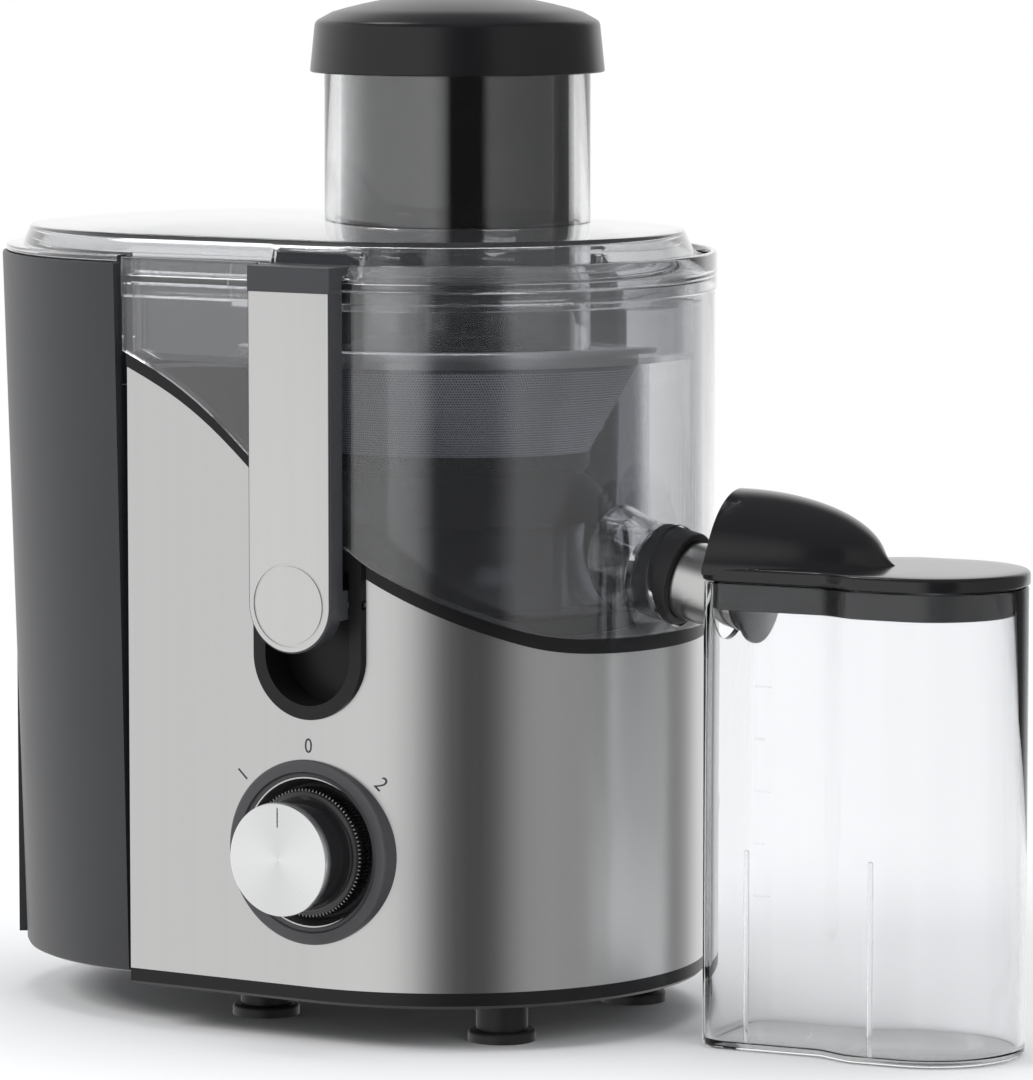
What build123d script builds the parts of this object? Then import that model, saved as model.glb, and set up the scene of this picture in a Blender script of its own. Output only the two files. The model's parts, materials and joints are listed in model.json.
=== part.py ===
from build123d import *
from math import cos, radians, sin, sqrt, tan
import os

os.makedirs("parts", exist_ok=True)

# ---------------------------------------------------------------------------
# Driving sizes, in mm. Heights are above the surface that the juicer stands
# on, and plan positions are from the bowl axis: +X towards the juice jug,
# -X towards the pulp bin, -Y towards the front.
# ---------------------------------------------------------------------------

# Fits
move_gap = 0.3          # between pieces that move past or lift off each other
nest_gap = 0.15         # between fixed pieces that nest in one another
turn_gap = 0.05         # radial, round a pin or shaft that turns
cut_past = 1.0          # how far a cut runs past the wall that it opens

# Feet and bottom cover
foot_height = 13.5
foot_flange_radius = 10.5
foot_flange_height = 3.5
foot_stem_radius = 8.0
foot_neck_radius = 3.8
foot_neck_length = 4.5
foot_fillet = 1.2
foot_x = (-43.0, 44.0)
foot_y = 40.0
cover_height = 5.0
cover_floor = 2.5
cover_wall = 3.0
cover_chamfer = 1.0
vent_count = 7
vent_pitch = 6.0
vent_size = (2.6, 34.0)
ledge_depth = 11.0
ledge_width = 112.0
ledge_thickness = 2.2
ledge_inset = 2.0                       # where it joins the cover
ledge_corner = 2.0
cover_screw_radius = 1.5
cover_screw_head_radius = 2.9
cover_screw_head_height = 1.8
cover_screw_length = 13.0
cover_boss_radius = 4.6
cover_boss_height = 30.0
cover_screw_left = -55.0
cover_screw_reach = 73.1                # from the bowl axis, and from the middle on the left
cover_screw_angle = 45.0

# Motor base
base_radius = 81.0
base_left = -66.2
panel_thickness = 0.8
housing_wall = 2.6
deck_height = 121.5
deck_thickness = 2.5
deck_hole_radius = 14.0
deck_overlap = 0.5                      # its edge runs into the wall
trim_height = 4.5
trim_proud = 0.5
wave_reach = 10.0                       # the edge curve runs this far past the base
# Share of the way along the edge, and rise over the deck
wave = ((0.0, 91.0), (0.16, 78.6), (0.24, 70.0), (0.32, 59.0), (0.53, 30.0), (0.8, 6.5), (1.0, 0.5))
wave_start_slope = -0.45

# Motor tower and seals
tower_radius = 38.0
tower_rise = 30.4                       # over the deck
tower_wall = 2.4
tower_flange_radius = 46.0
tower_flange_height = 2.4
tower_hole_radius = 12.0
shaft_seal_height = 3.0
bowl_seal_radius = 58.0
bowl_seal_width = 4.0

# Motor
shaft_radius = 4.0
shaft_bottom = 24.0
shaft_chamfer = 0.5
mount_radius = 6.0
mount_height = 10.0
mount_spacing = (44.0, 36.0)
bracket_size = (62.0, 50.0)
bracket_thickness = 2.0
bracket_corner = 4.0
bracket_vent_size = (12.0, 22.0)
bracket_vent_spacing = 36.0
leg_spacing = (52.0, 40.0)
leg_size = 5.0
bearing_radius = 9.0
bearing_height = 7.0
cup_wall = 2.0
cup_lip = 2.0
commutator_radius = 10.0
commutator_bottom = 38.5
commutator_height = 8.5
commutator_bars = 24
commutator_slot = (1.6, 0.5)
brush_size = 5.0
brush_length = 12.0
brush_stick_out = 2.0
holder_wall = 1.8
stator_bottom = 50.0
stator_height = 34.0
stator_size = (60.0, 52.0)
stator_corner = 6.0
bore_radius = 19.6
armature_radius = 19.0
armature_slots = 12
armature_slot_size = (5.0, 1.8)
armature_slot_depth = 2.0               # from the rim to the slot's middle
armature_winding_radius = 15.0
armature_winding_end = 2.0
winding_inner = 21.6
winding_outer = 25.4
winding_end = 5.5
winding_slot_angle = 10.0
winding_slot_margin = 1.0
winding_span = 40.0
fan_bottom = 93.0
fan_height = 8.0
fan_radius = 23.0
fan_hub_radius = 8.0
fan_blades = 9
fan_blade_thickness = 1.4
fan_blade_angle = 15.0
fan_blade_inset = 1.0
fan_disc_thickness = 1.5
upper_bracket_height = 106.0
motor_boss_radius = 4.0
motor_screw_radius = 1.5
motor_screw_head_radius = 2.9
motor_screw_length = 12.0
coupling_radius = 9.5
coupling_sunk = 5.4                     # under the tower's top
coupling_rise = 5.6                     # from the tower's top to the shoulder
coupling_drive_height = 12.0
coupling_drive_radius = 8.6
coupling_chamfer = 1.0

# Juice bowl
bowl_wall = 2.0
chamber_radius = 63.0                   # outside
chamber_rise = 5.5                      # from the deck to its underside
dome_foot_radius = 56.0
dome_radius = 42.6
dome_clearance = 2.6                    # over the tower's top
dome_side = 10.0                        # from its shoulder to its top
dome_hole_radius = 12.5
dome_arc_radius = 24.0                  # of its flared foot
tray_height = 208.5                     # underside of the tray round the chamber
tray_radius = 77.0                      # outside of the tray wall
web_height = 232.0                      # underside of the web that carries the lid
shroud_radius = 83.6
shroud_bottom_gap = 0.4
web_inset = 0.5
collar_radius = 84.1
collar_bottom = 228.0
collar_top = 240.0
collar_wall = 2.2
chute_length = 9.0
chute_drop = 5.0
chute_half_width = 64.0

# Spout
spout_x = 80.0                          # middle of the seal ring
spout_rise = 13.2                       # over the chamber's underside
spout_dip = 12.0
spout_bore = 10.8
spout_radius = 12.2
spout_reach = 27.6                      # from the seal ring to its upright mouth
stub_radius = 14.2
stub_end = -5.5
stub_start = -20.0
stub_clearance = 1.0
stub_cut_past = 3.0
spout_seal_radius = 13.6
spout_seal_length = 9.0
spout_seal_fillet = 0.5

# Strainer basket
hub_skirt_radius = 52.0
hub_skirt_clearance = 1.5               # over the dome's top
hub_neck_radius = 42.0
hub_neck_depth = 7.0                    # under the hub's top
hub_ring_radius = 44.0
hub_crown = 8.0                         # from the coupling's top to the hub's
hub_wall = 2.0
hub_boss_radius = 12.0
hub_boss_clearance = 0.4                # over the coupling's shoulder
hub_arc_radius = 24.0                   # of its flared skirt
hub_inner_arc_radius = 23.0
hub_neck_rise = 2.0
hub_neck_drop = 1.0
sieve_thickness = 0.8
sieve_top_radius = 58.6
sieve_top = 207.0
rim_radius = 65.0
rim_flange_height = 211.5
rim_top = 213.5
rim_fillet = 0.6
disc_thickness = 0.8
tooth_height = 1.4
tooth_length = 2.4
tooth_thickness = 0.7
tooth_ring_radii = (12.0, 20.0, 28.0, 36.0)
tooth_counts = (6, 12, 18, 24)

# Lid and feed tube
lid_foot_radius = 78.0
lid_plate_radius = 73.8
lid_foot_top = 238.5
lid_top = 246.5                         # at the edge of its crowned plate
lid_crown = 3.5
lid_wall = 2.2
lid_step = 0.5
lid_skirt_overlap = 1.0
lid_spigot_wall = 4.6
lid_skirt_bottom = 226.0
lid_skirt_wall = 1.8
lid_skirt_left = -38.0
lid_flange_radius = 81.6
lid_flange_thickness = 2.0
feed_x = 3.4
feed_radius = 41.5
feed_wall = 3.0
feed_clearance = 6.0                    # over the hub's top
feed_top = 299.7
lug_top = 243.6
lug_depth = 6.5
lug_half_width = 15.8

# Food pusher
pusher_gap = 0.6
pusher_wall = 2.2
pusher_raise = 2.0                      # above the feed tube's lower end
pusher_fillet = 2.0
cap_overlap = 4.2                       # down over the feed tube
cap_radius = 46.0
cap_wall = 2.6
cap_side = 11.0                         # from its seat to its shoulder
cap_shoulder_radius = 44.4
cap_edge = 3.5
cap_edge_rise = 2.8
cap_crown_slope = 0.35
cap_crown = 9.0                         # from its shoulder to its top

# Latches
latch_half_width = 14.8
latch_stand_off = 10.5                  # of its outer face from the base
latch_thickness = 7.0
latch_pivot_rise = 13.0                 # over the deck
latch_pivot_inset = 1.0
latch_boss_radius = 4.5
latch_pin_radius = 1.5
latch_top = 239.5
latch_chamfer = 1.0
latch_cap_bottom = 231.8
latch_plate_thickness = 0.6
latch_plate_margin = 0.5
latch_ring_radius = 13.2
latch_ring_width = 0.9
latch_ring_depth = 0.3
hook_tip = 75.2
hook_tip_thickness = 0.4
hook_ramp = 3.0
hook_underside = 236.9
hook_gap = 0.4                          # from the collar and the lid
hook_notch_margin = 1.0
pocket_half_width = 15.2
pocket_wall = 1.8
pocket_rim = 19.5
pocket_rim_thickness = 0.6
pocket_drop = 16.6                      # from the latch's pivot to the middle of its round foot
pocket_headroom = 10.0                  # over the latch's pivot
pocket_depth = 11.0

# Speed knob and its switch
knob_height = 60.1
bezel_radius = 28.5
bezel_thickness = 1.2
bezel_cup_radius = 22.6
bezel_cup_wall = 1.2
bezel_cup_depth = 7.0
bezel_fillet = 0.8
knob_skirt_radius = 20.0
knob_skirt_length = 8.0
knob_skirt_chamfer = 0.8
knob_body_radius = 17.0
knob_stand_off = 17.3                   # of its outer face from the base
knob_cap_radius = 17.4
knob_cap_thickness = 3.0
knob_cap_chamfer = 0.7
knob_marker_size = (0.6, 6.0, 0.3)
knob_marker_inset = 1.5
knob_shaft_radius = 3.0
knob_shaft_clearance = 1.0              # from its end to the switch's rear face
switch_size = (24.0, 20.0, 16.0)
switch_corner = 2.0

# Safety switch and cord gland
safety_switch_size = (16.0, 12.0, 8.0)
safety_switch_drop = 9.5                # under the deck
safety_switch_corner = 1.0
gland_x = -34.0
gland_height = 34.0
gland_radius = 8.5
gland_neck_radius = 6.4
gland_flange = 1.6
gland_fillet = 0.8
gland_inside = 3.0                      # past the housing's wall
gland_recess_radius = 3.5
gland_recess_depth = 1.5

# Pulp bin
bin_right = -69.4                       # its flat side, through the middle of its round one
bin_radius = 82.8
bin_bottom_radius = 76.6
bin_bottom = 16.0
bin_top = 238.0
bin_wall = 2.2
bin_low_wall = 200.0
bin_mouth_half_width = 79.0
grip_radius = 79.3
grip_bottom = 18.5
grip_top = 135.0
grip_half_angle = 33.0
grip_depth = 12.0

# Juice jug and its lid
jug_turn = 6.0                          # the jug stands turned this far about the spout
jug_left = 19.0                         # from the spout's seal ring
jug_right_centre = 87.0
jug_right_radius = 29.2
jug_left_half_width = 24.0
jug_neck = (58.0, 74.0)                 # where its flanks swell out
jug_corner = 9.0
jug_rise = 0.8                          # over the middle of the spout's seal ring
jug_wall = 2.0
jug_fillet = 1.5
jug_notch_radius = 16.5
jug_notch_drop = 5.2                    # under the middle of the spout's seal ring
jug_rib_places = ((35.8, 24.0), (78.5, 29.2))   # along the jug, and out to its wall
jug_rib_size = (1.2, 3.0)
jug_rib_height = 62.0
jug_lid_thickness = 4.5
jug_lid_fillet = 1.2
jug_lid_overhang = 0.5
jug_skirt_depth = 9.0
jug_skirt_wall = 1.8
hood_left = 21.5
hood_length = 50.0
hood_radius = 22.2
hood_wall = 2.0
hood_sink = 0.5                         # its axis lies this far under the plate's top
hood_lean = 5.0
baffle_x = 29.6
baffle_thickness = 1.6
baffle_half_width = 17.0
baffle_drop = 20.5                      # under the jug's top

# ---------------------------------------------------------------------------
# Derived sizes
# ---------------------------------------------------------------------------

deck_top = deck_height + deck_thickness
tower_height = deck_top + tower_rise
chamber_floor = deck_top + chamber_rise
spout_height = chamber_floor + spout_rise
latch_face = base_radius + latch_stand_off
latch_pivot_height = deck_top + latch_pivot_rise
latch_pivot_depth = base_radius - latch_pivot_inset
pocket_centre = latch_pivot_height - pocket_drop
pocket_top = latch_pivot_height + pocket_headroom
knob_face = base_radius + knob_stand_off
safety_switch_height = deck_height - safety_switch_drop
jug_height = spout_height + jug_rise
jug_notch_height = spout_height - jug_notch_drop
baffle_bottom = jug_height - baffle_drop

# The part's origin is on the floor, under the middle of its box.
left_end = bin_right - bin_radius
right_end = spout_x + jug_right_centre * cos(radians(jug_turn)) + jug_right_radius + jug_lid_overhang
axis_x = -(left_end + right_end) / 2
axis_y = (knob_face - latch_face) / 2

cover_top = foot_height + cover_height
housing_radius = base_radius - panel_thickness - nest_gap
well_radius = housing_radius - housing_wall
wave_left = base_left - wave_reach
wave_right = base_radius + wave_reach
coupling_bottom = tower_height - coupling_sunk
coupling_shoulder = tower_height + coupling_rise
coupling_top = coupling_shoulder + coupling_drive_height
dome_top = tower_height + dome_clearance
dome_shoulder = dome_top - dome_side
hub_skirt_height = dome_top + hub_skirt_clearance
hub_boss_bottom = coupling_shoulder + hub_boss_clearance
hub_top = coupling_top + hub_crown
hub_neck_height = hub_top - hub_neck_depth
feed_bottom = hub_top + feed_clearance
pusher_bottom = feed_bottom + pusher_raise
pusher_seat = feed_top + move_gap
cap_bottom = feed_top - cap_overlap
cap_shoulder_height = pusher_seat + cap_side
cap_top = cap_shoulder_height + cap_crown
web_top = web_height + bowl_wall
lid_left = bin_right                            # centre of the lid's left end
lid_bottom = web_top + move_gap
mount_bottom = foot_height + cover_floor
lower_bracket_height = mount_bottom + mount_height
bearing_bottom = lower_bracket_height + bracket_thickness
stator_top = stator_bottom + stator_height
pocket_body = pocket_half_width + pocket_wall
pocket_back = latch_pivot_depth - pocket_depth - pocket_wall
window_start = pocket_back - cut_past           # deep enough for the curved end of the wall
window_depth = latch_face - window_start
latch_back = latch_face - latch_thickness
plate_seat = latch_face - latch_plate_thickness
lug_face = hook_tip - hook_gap
ledge_top = hook_underside - hook_gap           # of the collar and the lid under each hook
all_round = 2 * (base_radius + latch_face)      # longer than anything to be cut
opposite_ways = (0, 180)                        # directions, in degrees from +X
quarter_turn = 90

spin = Axis((axis_x, axis_y, 0), (0, 0, 1))
lid_end = Axis((axis_x + lid_left, axis_y, 0), (0, 0, 1))
feed_axis = Axis((axis_x + feed_x, axis_y, 0), (0, 0, 1))


# ---------------------------------------------------------------------------
# Work planes and shared outlines
# ---------------------------------------------------------------------------


def level(height, x=0.0, y=0.0):
    """Horizontal work plane, centred on the bowl axis or on x, y from it."""
    return Plane((axis_x + x, axis_y + y, height))


def upright(x=0.0):
    """Vertical plane facing the front: local x is +X from the upright axis at x, local y is height."""
    return Plane(origin=(axis_x + x, axis_y, 0), x_dir=(1, 0, 0), z_dir=(0, -1, 0))


def flank(side, distance):
    """Vertical plane on the front (side -1) or rear (side 1), facing away from the bowl."""
    return Plane(origin=(axis_x, axis_y + side * distance, 0), x_dir=(-side, 0, 0), z_dir=(0, side, 0))


def cross_plane(side):
    """Plane across the base at x = 0: local x runs out to the front or rear, local y is height."""
    return Plane(origin=(axis_x, axis_y, 0), x_dir=(0, side, 0), z_dir=(side, 0, 0))


def across(x, side, distance, height):
    """Plane facing +X, for round pieces that lie along X."""
    return Plane(origin=(axis_x + x, axis_y + side * distance, height), z_dir=(1, 0, 0))


def jug_level(height):
    """Horizontal plane of the turned jug, from the spout's seal ring."""
    turned = (cos(radians(jug_turn)), sin(radians(jug_turn)), 0)
    return Plane(origin=(axis_x + spout_x, axis_y, height), x_dir=turned, z_dir=(0, 0, 1))


def jug_upright(height):
    """Vertical plane along the jug's length, at the height given."""
    turned = (cos(radians(jug_turn)), sin(radians(jug_turn)), 0)
    facing = (sin(radians(jug_turn)), -cos(radians(jug_turn)), 0)
    return Plane(origin=(axis_x + spout_x, axis_y, height), x_dir=turned, z_dir=facing)


def jug_cross(x):
    """Vertical plane across the jug, facing along it: local x is its width, local y is height."""
    turned = (cos(radians(jug_turn)), sin(radians(jug_turn)), 0)
    side = (-sin(radians(jug_turn)), cos(radians(jug_turn)), 0)
    start = (axis_x + spout_x + x * turned[0], axis_y + x * turned[1], 0)
    return Plane(origin=start, x_dir=side, z_dir=turned)


def spout_plane(along):
    """Plane across the dipping spout, the distance given past its seal ring."""
    dip = radians(spout_dip)
    start = (axis_x + spout_x + along * cos(dip), axis_y, spout_height - along * sin(dip))
    return Plane(origin=start, x_dir=(0, 1, 0), z_dir=(cos(dip), 0, -sin(dip)))


def d_face(radius, left):
    """D: a round end about the bowl axis, straight flanks and a flat end at x = left."""
    with BuildSketch() as outline:
        with BuildLine():
            ThreePointArc((0, -radius), (radius, 0), (0, radius))
            Polyline((0, radius), (left, radius), (left, -radius), (0, -radius))
        make_face()
    return outline.sketch


def slot_face(radius, left):
    """Stadium: round about the bowl axis at one end and about x = left at the other."""
    with BuildSketch() as outline:
        with BuildLine():
            ThreePointArc((0, -radius), (radius, 0), (0, radius))
            Line((0, radius), (left, radius))
            ThreePointArc((left, radius), (left - radius, 0), (left, -radius))
            Line((left, -radius), (0, -radius))
        make_face()
    return outline.sketch


def bin_face(radius, right):
    """The pulp bin's plan: a round about its own middle, cut off flat at x = right."""
    offset = right - bin_right
    half = sqrt(radius**2 - offset**2)
    with BuildSketch() as outline:
        with BuildLine():
            ThreePointArc((right, half), (bin_right - radius, 0), (right, -half))
            Line((right, -half), (right, half))
        make_face()
    return outline.sketch


def u_face(half_width, centre, top):
    """U standing on its round end: the outline of the latches and their pockets."""
    with BuildSketch() as outline:
        with Locations((0, (centre + top) / 2)):
            Rectangle(2 * half_width, top - centre)
        with Locations((0, centre)):
            Circle(half_width)
    return outline.sketch


def wave_face(rise, limit):
    """All between the base's sweeping upper edge, raised by rise, and the height limit."""
    run = wave_right - wave_left
    points = [(wave_left + share * run, deck_top + height + rise) for share, height in wave]
    with BuildSketch() as region:
        with BuildLine():
            edge = Spline(*points, tangents=((1, wave_start_slope), (1, 0)))
            Polyline(edge @ 1, (wave_right, limit), (wave_left, limit), edge @ 0)
        make_face()
    return region.sketch


def ring_sector(inner, outer, middle, half_angle):
    """Piece of a ring, half_angle each side of the direction middle, in degrees."""
    with BuildSketch() as sector:
        with BuildLine():
            start, end = middle - half_angle, middle + half_angle
            out = CenterArc((0, 0), outer, start, end - start)
            back = CenterArc((0, 0), inner, start, end - start)
            Line(out @ 0, back @ 0)
            Line(out @ 1, back @ 1)
        make_face()
    return sector.sketch


def jug_face(shrink):
    """The jug's plan, all its walls moved inwards by shrink."""
    left = jug_left + shrink
    narrow = jug_left_half_width - shrink
    wide = jug_right_radius - shrink
    corner = jug_corner - shrink
    with BuildSketch() as outline:
        with BuildLine():
            Line((left, -narrow + corner), (left, narrow - corner))
            RadiusArc((left, narrow - corner), (left + corner, narrow), corner)
            top = Line((left + corner, narrow), (jug_neck[0], narrow))
            swell = Spline((jug_neck[0], narrow), (jug_neck[1], wide), tangents=((1, 0), (1, 0)))
            Line(swell @ 1, (jug_right_centre, wide))
            ThreePointArc((jug_right_centre, wide), (jug_right_centre + wide, 0), (jug_right_centre, -wide))
            Line((jug_right_centre, -wide), (jug_neck[1], -wide))
            Spline((jug_neck[1], -wide), (jug_neck[0], -narrow), tangents=((-1, 0), (-1, 0)))
            Line((jug_neck[0], -narrow), (left + corner, -narrow))
            RadiusArc((left + corner, -narrow), (left, -narrow + corner), corner)
        make_face()
    return outline.sketch


# ---------------------------------------------------------------------------
# Feet and bottom cover
# ---------------------------------------------------------------------------

foot_places = {
    "front_left": (foot_x[0], -foot_y),
    "front_right": (foot_x[1], -foot_y),
    "rear_left": (foot_x[0], foot_y),
    "rear_right": (foot_x[1], foot_y),
}
for corner_name, (x, y) in foot_places.items():
    with BuildPart() as foot:
        with BuildSketch(level(0, x, y)):
            Circle(foot_flange_radius)
        extrude(amount=foot_flange_height)
        fillet(foot.edges().group_by(Axis.Z)[-1], foot_fillet)
        with BuildSketch(level(0, x, y)):
            Circle(foot_stem_radius)
        extrude(amount=foot_height)
        with BuildSketch(level(foot_height, x, y)):
            Circle(foot_neck_radius)
        extrude(amount=foot_neck_length)
    foot.part.label = f"foot_{corner_name}"
    export_step(foot.part, f"parts/{foot.part.label}.step")

screw_x = cover_screw_reach * cos(radians(cover_screw_angle))
screw_y = cover_screw_reach * sin(radians(cover_screw_angle))
cover_screw_places = [
    (cover_screw_left, -cover_screw_reach),
    (cover_screw_left, cover_screw_reach),
    (screw_x, -screw_y),
    (screw_x, screw_y),
]

with BuildPart() as bottom_cover:
    with BuildSketch(level(foot_height)):
        add(d_face(base_radius, base_left))
    extrude(amount=cover_height)
    chamfer(bottom_cover.edges().group_by(Axis.Z)[0], cover_chamfer)
    with BuildSketch(level(foot_height + cover_floor)):
        add(d_face(base_radius - cover_wall, base_left + cover_wall))
    extrude(amount=cover_height, mode=Mode.SUBTRACT)
    with BuildSketch(level(foot_height)):
        with Locations((base_left + (ledge_inset - ledge_depth) / 2, 0)):
            RectangleRounded(ledge_depth + ledge_inset, ledge_width, ledge_corner)
    extrude(amount=ledge_thickness)
    with BuildSketch(level(foot_height)):
        with Locations(*foot_places.values()):
            Circle(foot_neck_radius + nest_gap)
        with Locations(*cover_screw_places):
            Circle(cover_screw_radius + nest_gap)
        with GridLocations(vent_pitch, 1, vent_count, 1):
            SlotOverall(vent_size[1], vent_size[0], rotation=quarter_turn)
    extrude(amount=cover_height, mode=Mode.SUBTRACT)
    with BuildSketch(level(foot_height)):
        with Locations(*cover_screw_places):
            Circle(cover_screw_head_radius + nest_gap)
    extrude(amount=cover_screw_head_height, mode=Mode.SUBTRACT)
bottom_cover.part.label = "bottom_cover"
export_step(bottom_cover.part, "parts/bottom_cover.step")

with BuildPart() as bottom_screws:
    with BuildSketch(level(foot_height)):
        with Locations(*cover_screw_places):
            Circle(cover_screw_head_radius)
    extrude(amount=cover_screw_head_height)
    with BuildSketch(level(foot_height + cover_screw_head_height)):
        with Locations(*cover_screw_places):
            Circle(cover_screw_radius)
    extrude(amount=cover_screw_length)
bottom_screws.part.label = "bottom_screws"
export_step(bottom_screws.part, "parts/bottom_screws.step")

# ---------------------------------------------------------------------------
# Motor base: housing, steel panel and trim
# ---------------------------------------------------------------------------

motor_boss_y = bracket_size[1] / 2 - motor_boss_radius - 1
motor_screw_places = [(0, -motor_boss_y), (0, motor_boss_y)]

with BuildPart() as base_housing:
    with BuildSketch(level(cover_top)):
        add(d_face(housing_radius, base_left))
        add(d_face(well_radius, base_left + housing_wall), mode=Mode.SUBTRACT)
    extrude(amount=collar_top - cover_top)
    with BuildSketch(level(deck_height)):
        add(d_face(well_radius + deck_overlap, base_left + housing_wall - deck_overlap))
        Circle(deck_hole_radius, mode=Mode.SUBTRACT)
    extrude(amount=deck_thickness)
    with BuildSketch(upright()):
        add(wave_face(-trim_height - nest_gap, collar_top + wave_reach))
    extrude(amount=all_round / 2, both=True, mode=Mode.SUBTRACT)
    # columns for the cover's screws, joined to the wall
    with BuildSketch(level(foot_height + cover_floor)):
        with Locations(*cover_screw_places):
            Circle(cover_boss_radius)
    extrude(amount=cover_boss_height)
    with BuildSketch(level(foot_height)):
        with Locations(*cover_screw_places):
            Circle(cover_screw_radius + nest_gap)
    extrude(amount=cover_boss_height, mode=Mode.SUBTRACT)
    # bosses under the deck for the motor's upper bracket
    with BuildSketch(level(upper_bracket_height + bracket_thickness)):
        with Locations(*motor_screw_places):
            Circle(motor_boss_radius)
            Circle(motor_screw_radius + nest_gap, mode=Mode.SUBTRACT)
    extrude(amount=deck_top - upper_bracket_height - bracket_thickness)
    # windows for the latch pockets, the knob's cup and the cord gland
    for side in (-1, 1):
        with BuildSketch(flank(side, window_start)):
            add(u_face(pocket_body + nest_gap, pocket_centre, pocket_top + pocket_wall + nest_gap))
        extrude(amount=window_depth, mode=Mode.SUBTRACT)
    with BuildSketch(flank(-1, window_start)):
        with Locations((0, knob_height)):
            Circle(bezel_cup_radius + nest_gap)
    extrude(amount=window_depth, mode=Mode.SUBTRACT)
    with BuildSketch(flank(1, window_start)):
        with Locations((-gland_x, gland_height)):
            Circle(gland_neck_radius + nest_gap)
    extrude(amount=window_depth, mode=Mode.SUBTRACT)
base_housing.part.label = "base_housing"
export_step(base_housing.part, "parts/base_housing.step")

with BuildPart() as front_panel:
    with BuildSketch(level(cover_top)):
        add(d_face(base_radius, base_left))
        add(d_face(base_radius - panel_thickness, base_left - cut_past), mode=Mode.SUBTRACT)
    extrude(amount=collar_top - cover_top)
    with BuildSketch(upright()):
        add(wave_face(-trim_height, collar_top + wave_reach))
    extrude(amount=all_round / 2, both=True, mode=Mode.SUBTRACT)
    for side in (-1, 1):
        with BuildSketch(flank(side, window_start)):
            add(u_face(pocket_body + nest_gap, pocket_centre, pocket_top + pocket_wall + nest_gap))
        extrude(amount=window_depth, mode=Mode.SUBTRACT)
    with BuildSketch(flank(-1, window_start)):
        with Locations((0, knob_height)):
            Circle(bezel_cup_radius + nest_gap)
    extrude(amount=window_depth, mode=Mode.SUBTRACT)
    with BuildSketch(flank(1, window_start)):
        with Locations((-gland_x, gland_height)):
            Circle(gland_neck_radius + nest_gap)
    extrude(amount=window_depth, mode=Mode.SUBTRACT)
front_panel.part.label = "front_panel"
export_step(front_panel.part, "parts/front_panel.step")

with BuildPart() as trim_band:
    with BuildSketch(level(deck_height - trim_height)):
        add(d_face(base_radius + trim_proud, base_left))
        add(d_face(well_radius, base_left - cut_past), mode=Mode.SUBTRACT)
    extrude(amount=collar_top - deck_height)
    with BuildSketch(upright()):
        add(wave_face(0, collar_top + wave_reach))
        add(wave_face(-trim_height, 0))
    extrude(amount=all_round / 2, both=True, mode=Mode.SUBTRACT)
    for side in (-1, 1):
        with BuildSketch(flank(side, window_start)):
            add(u_face(pocket_rim + nest_gap, pocket_centre, collar_top))
        extrude(amount=window_depth, mode=Mode.SUBTRACT)
trim_band.part.label = "trim_band"
export_step(trim_band.part, "parts/trim_band.step")

with BuildPart() as motor_tower:
    with BuildSketch(upright()):
        Polygon(
            (tower_flange_radius, deck_top),
            (tower_flange_radius, deck_top + tower_flange_height),
            (tower_radius, deck_top + tower_flange_height),
            (tower_radius - 1, tower_height),
            (tower_hole_radius, tower_height),
            (tower_hole_radius, tower_height - shaft_seal_height - tower_wall),
            (tower_radius - 1 - tower_wall, tower_height - shaft_seal_height - tower_wall),
            (tower_radius - tower_wall, deck_top),
            align=None,
        )
    revolve(axis=spin)
motor_tower.part.label = "motor_tower"
export_step(motor_tower.part, "parts/motor_tower.step")

with BuildPart() as shaft_seal:
    with BuildSketch(level(tower_height - shaft_seal_height)):
        Circle(tower_hole_radius)
        Circle(coupling_radius + move_gap, mode=Mode.SUBTRACT)
    extrude(amount=shaft_seal_height)
shaft_seal.part.label = "shaft_seal"
export_step(shaft_seal.part, "parts/shaft_seal.step")

with BuildPart() as bowl_seal:
    with BuildSketch(level(deck_top)):
        Circle(bowl_seal_radius + bowl_seal_width / 2)
        Circle(bowl_seal_radius - bowl_seal_width / 2, mode=Mode.SUBTRACT)
    extrude(amount=chamber_floor - deck_top - nest_gap)
bowl_seal.part.label = "bowl_seal"
export_step(bowl_seal.part, "parts/bowl_seal.step")

# ---------------------------------------------------------------------------
# Latches: one on the front flank and one on the rear
# ---------------------------------------------------------------------------

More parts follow.
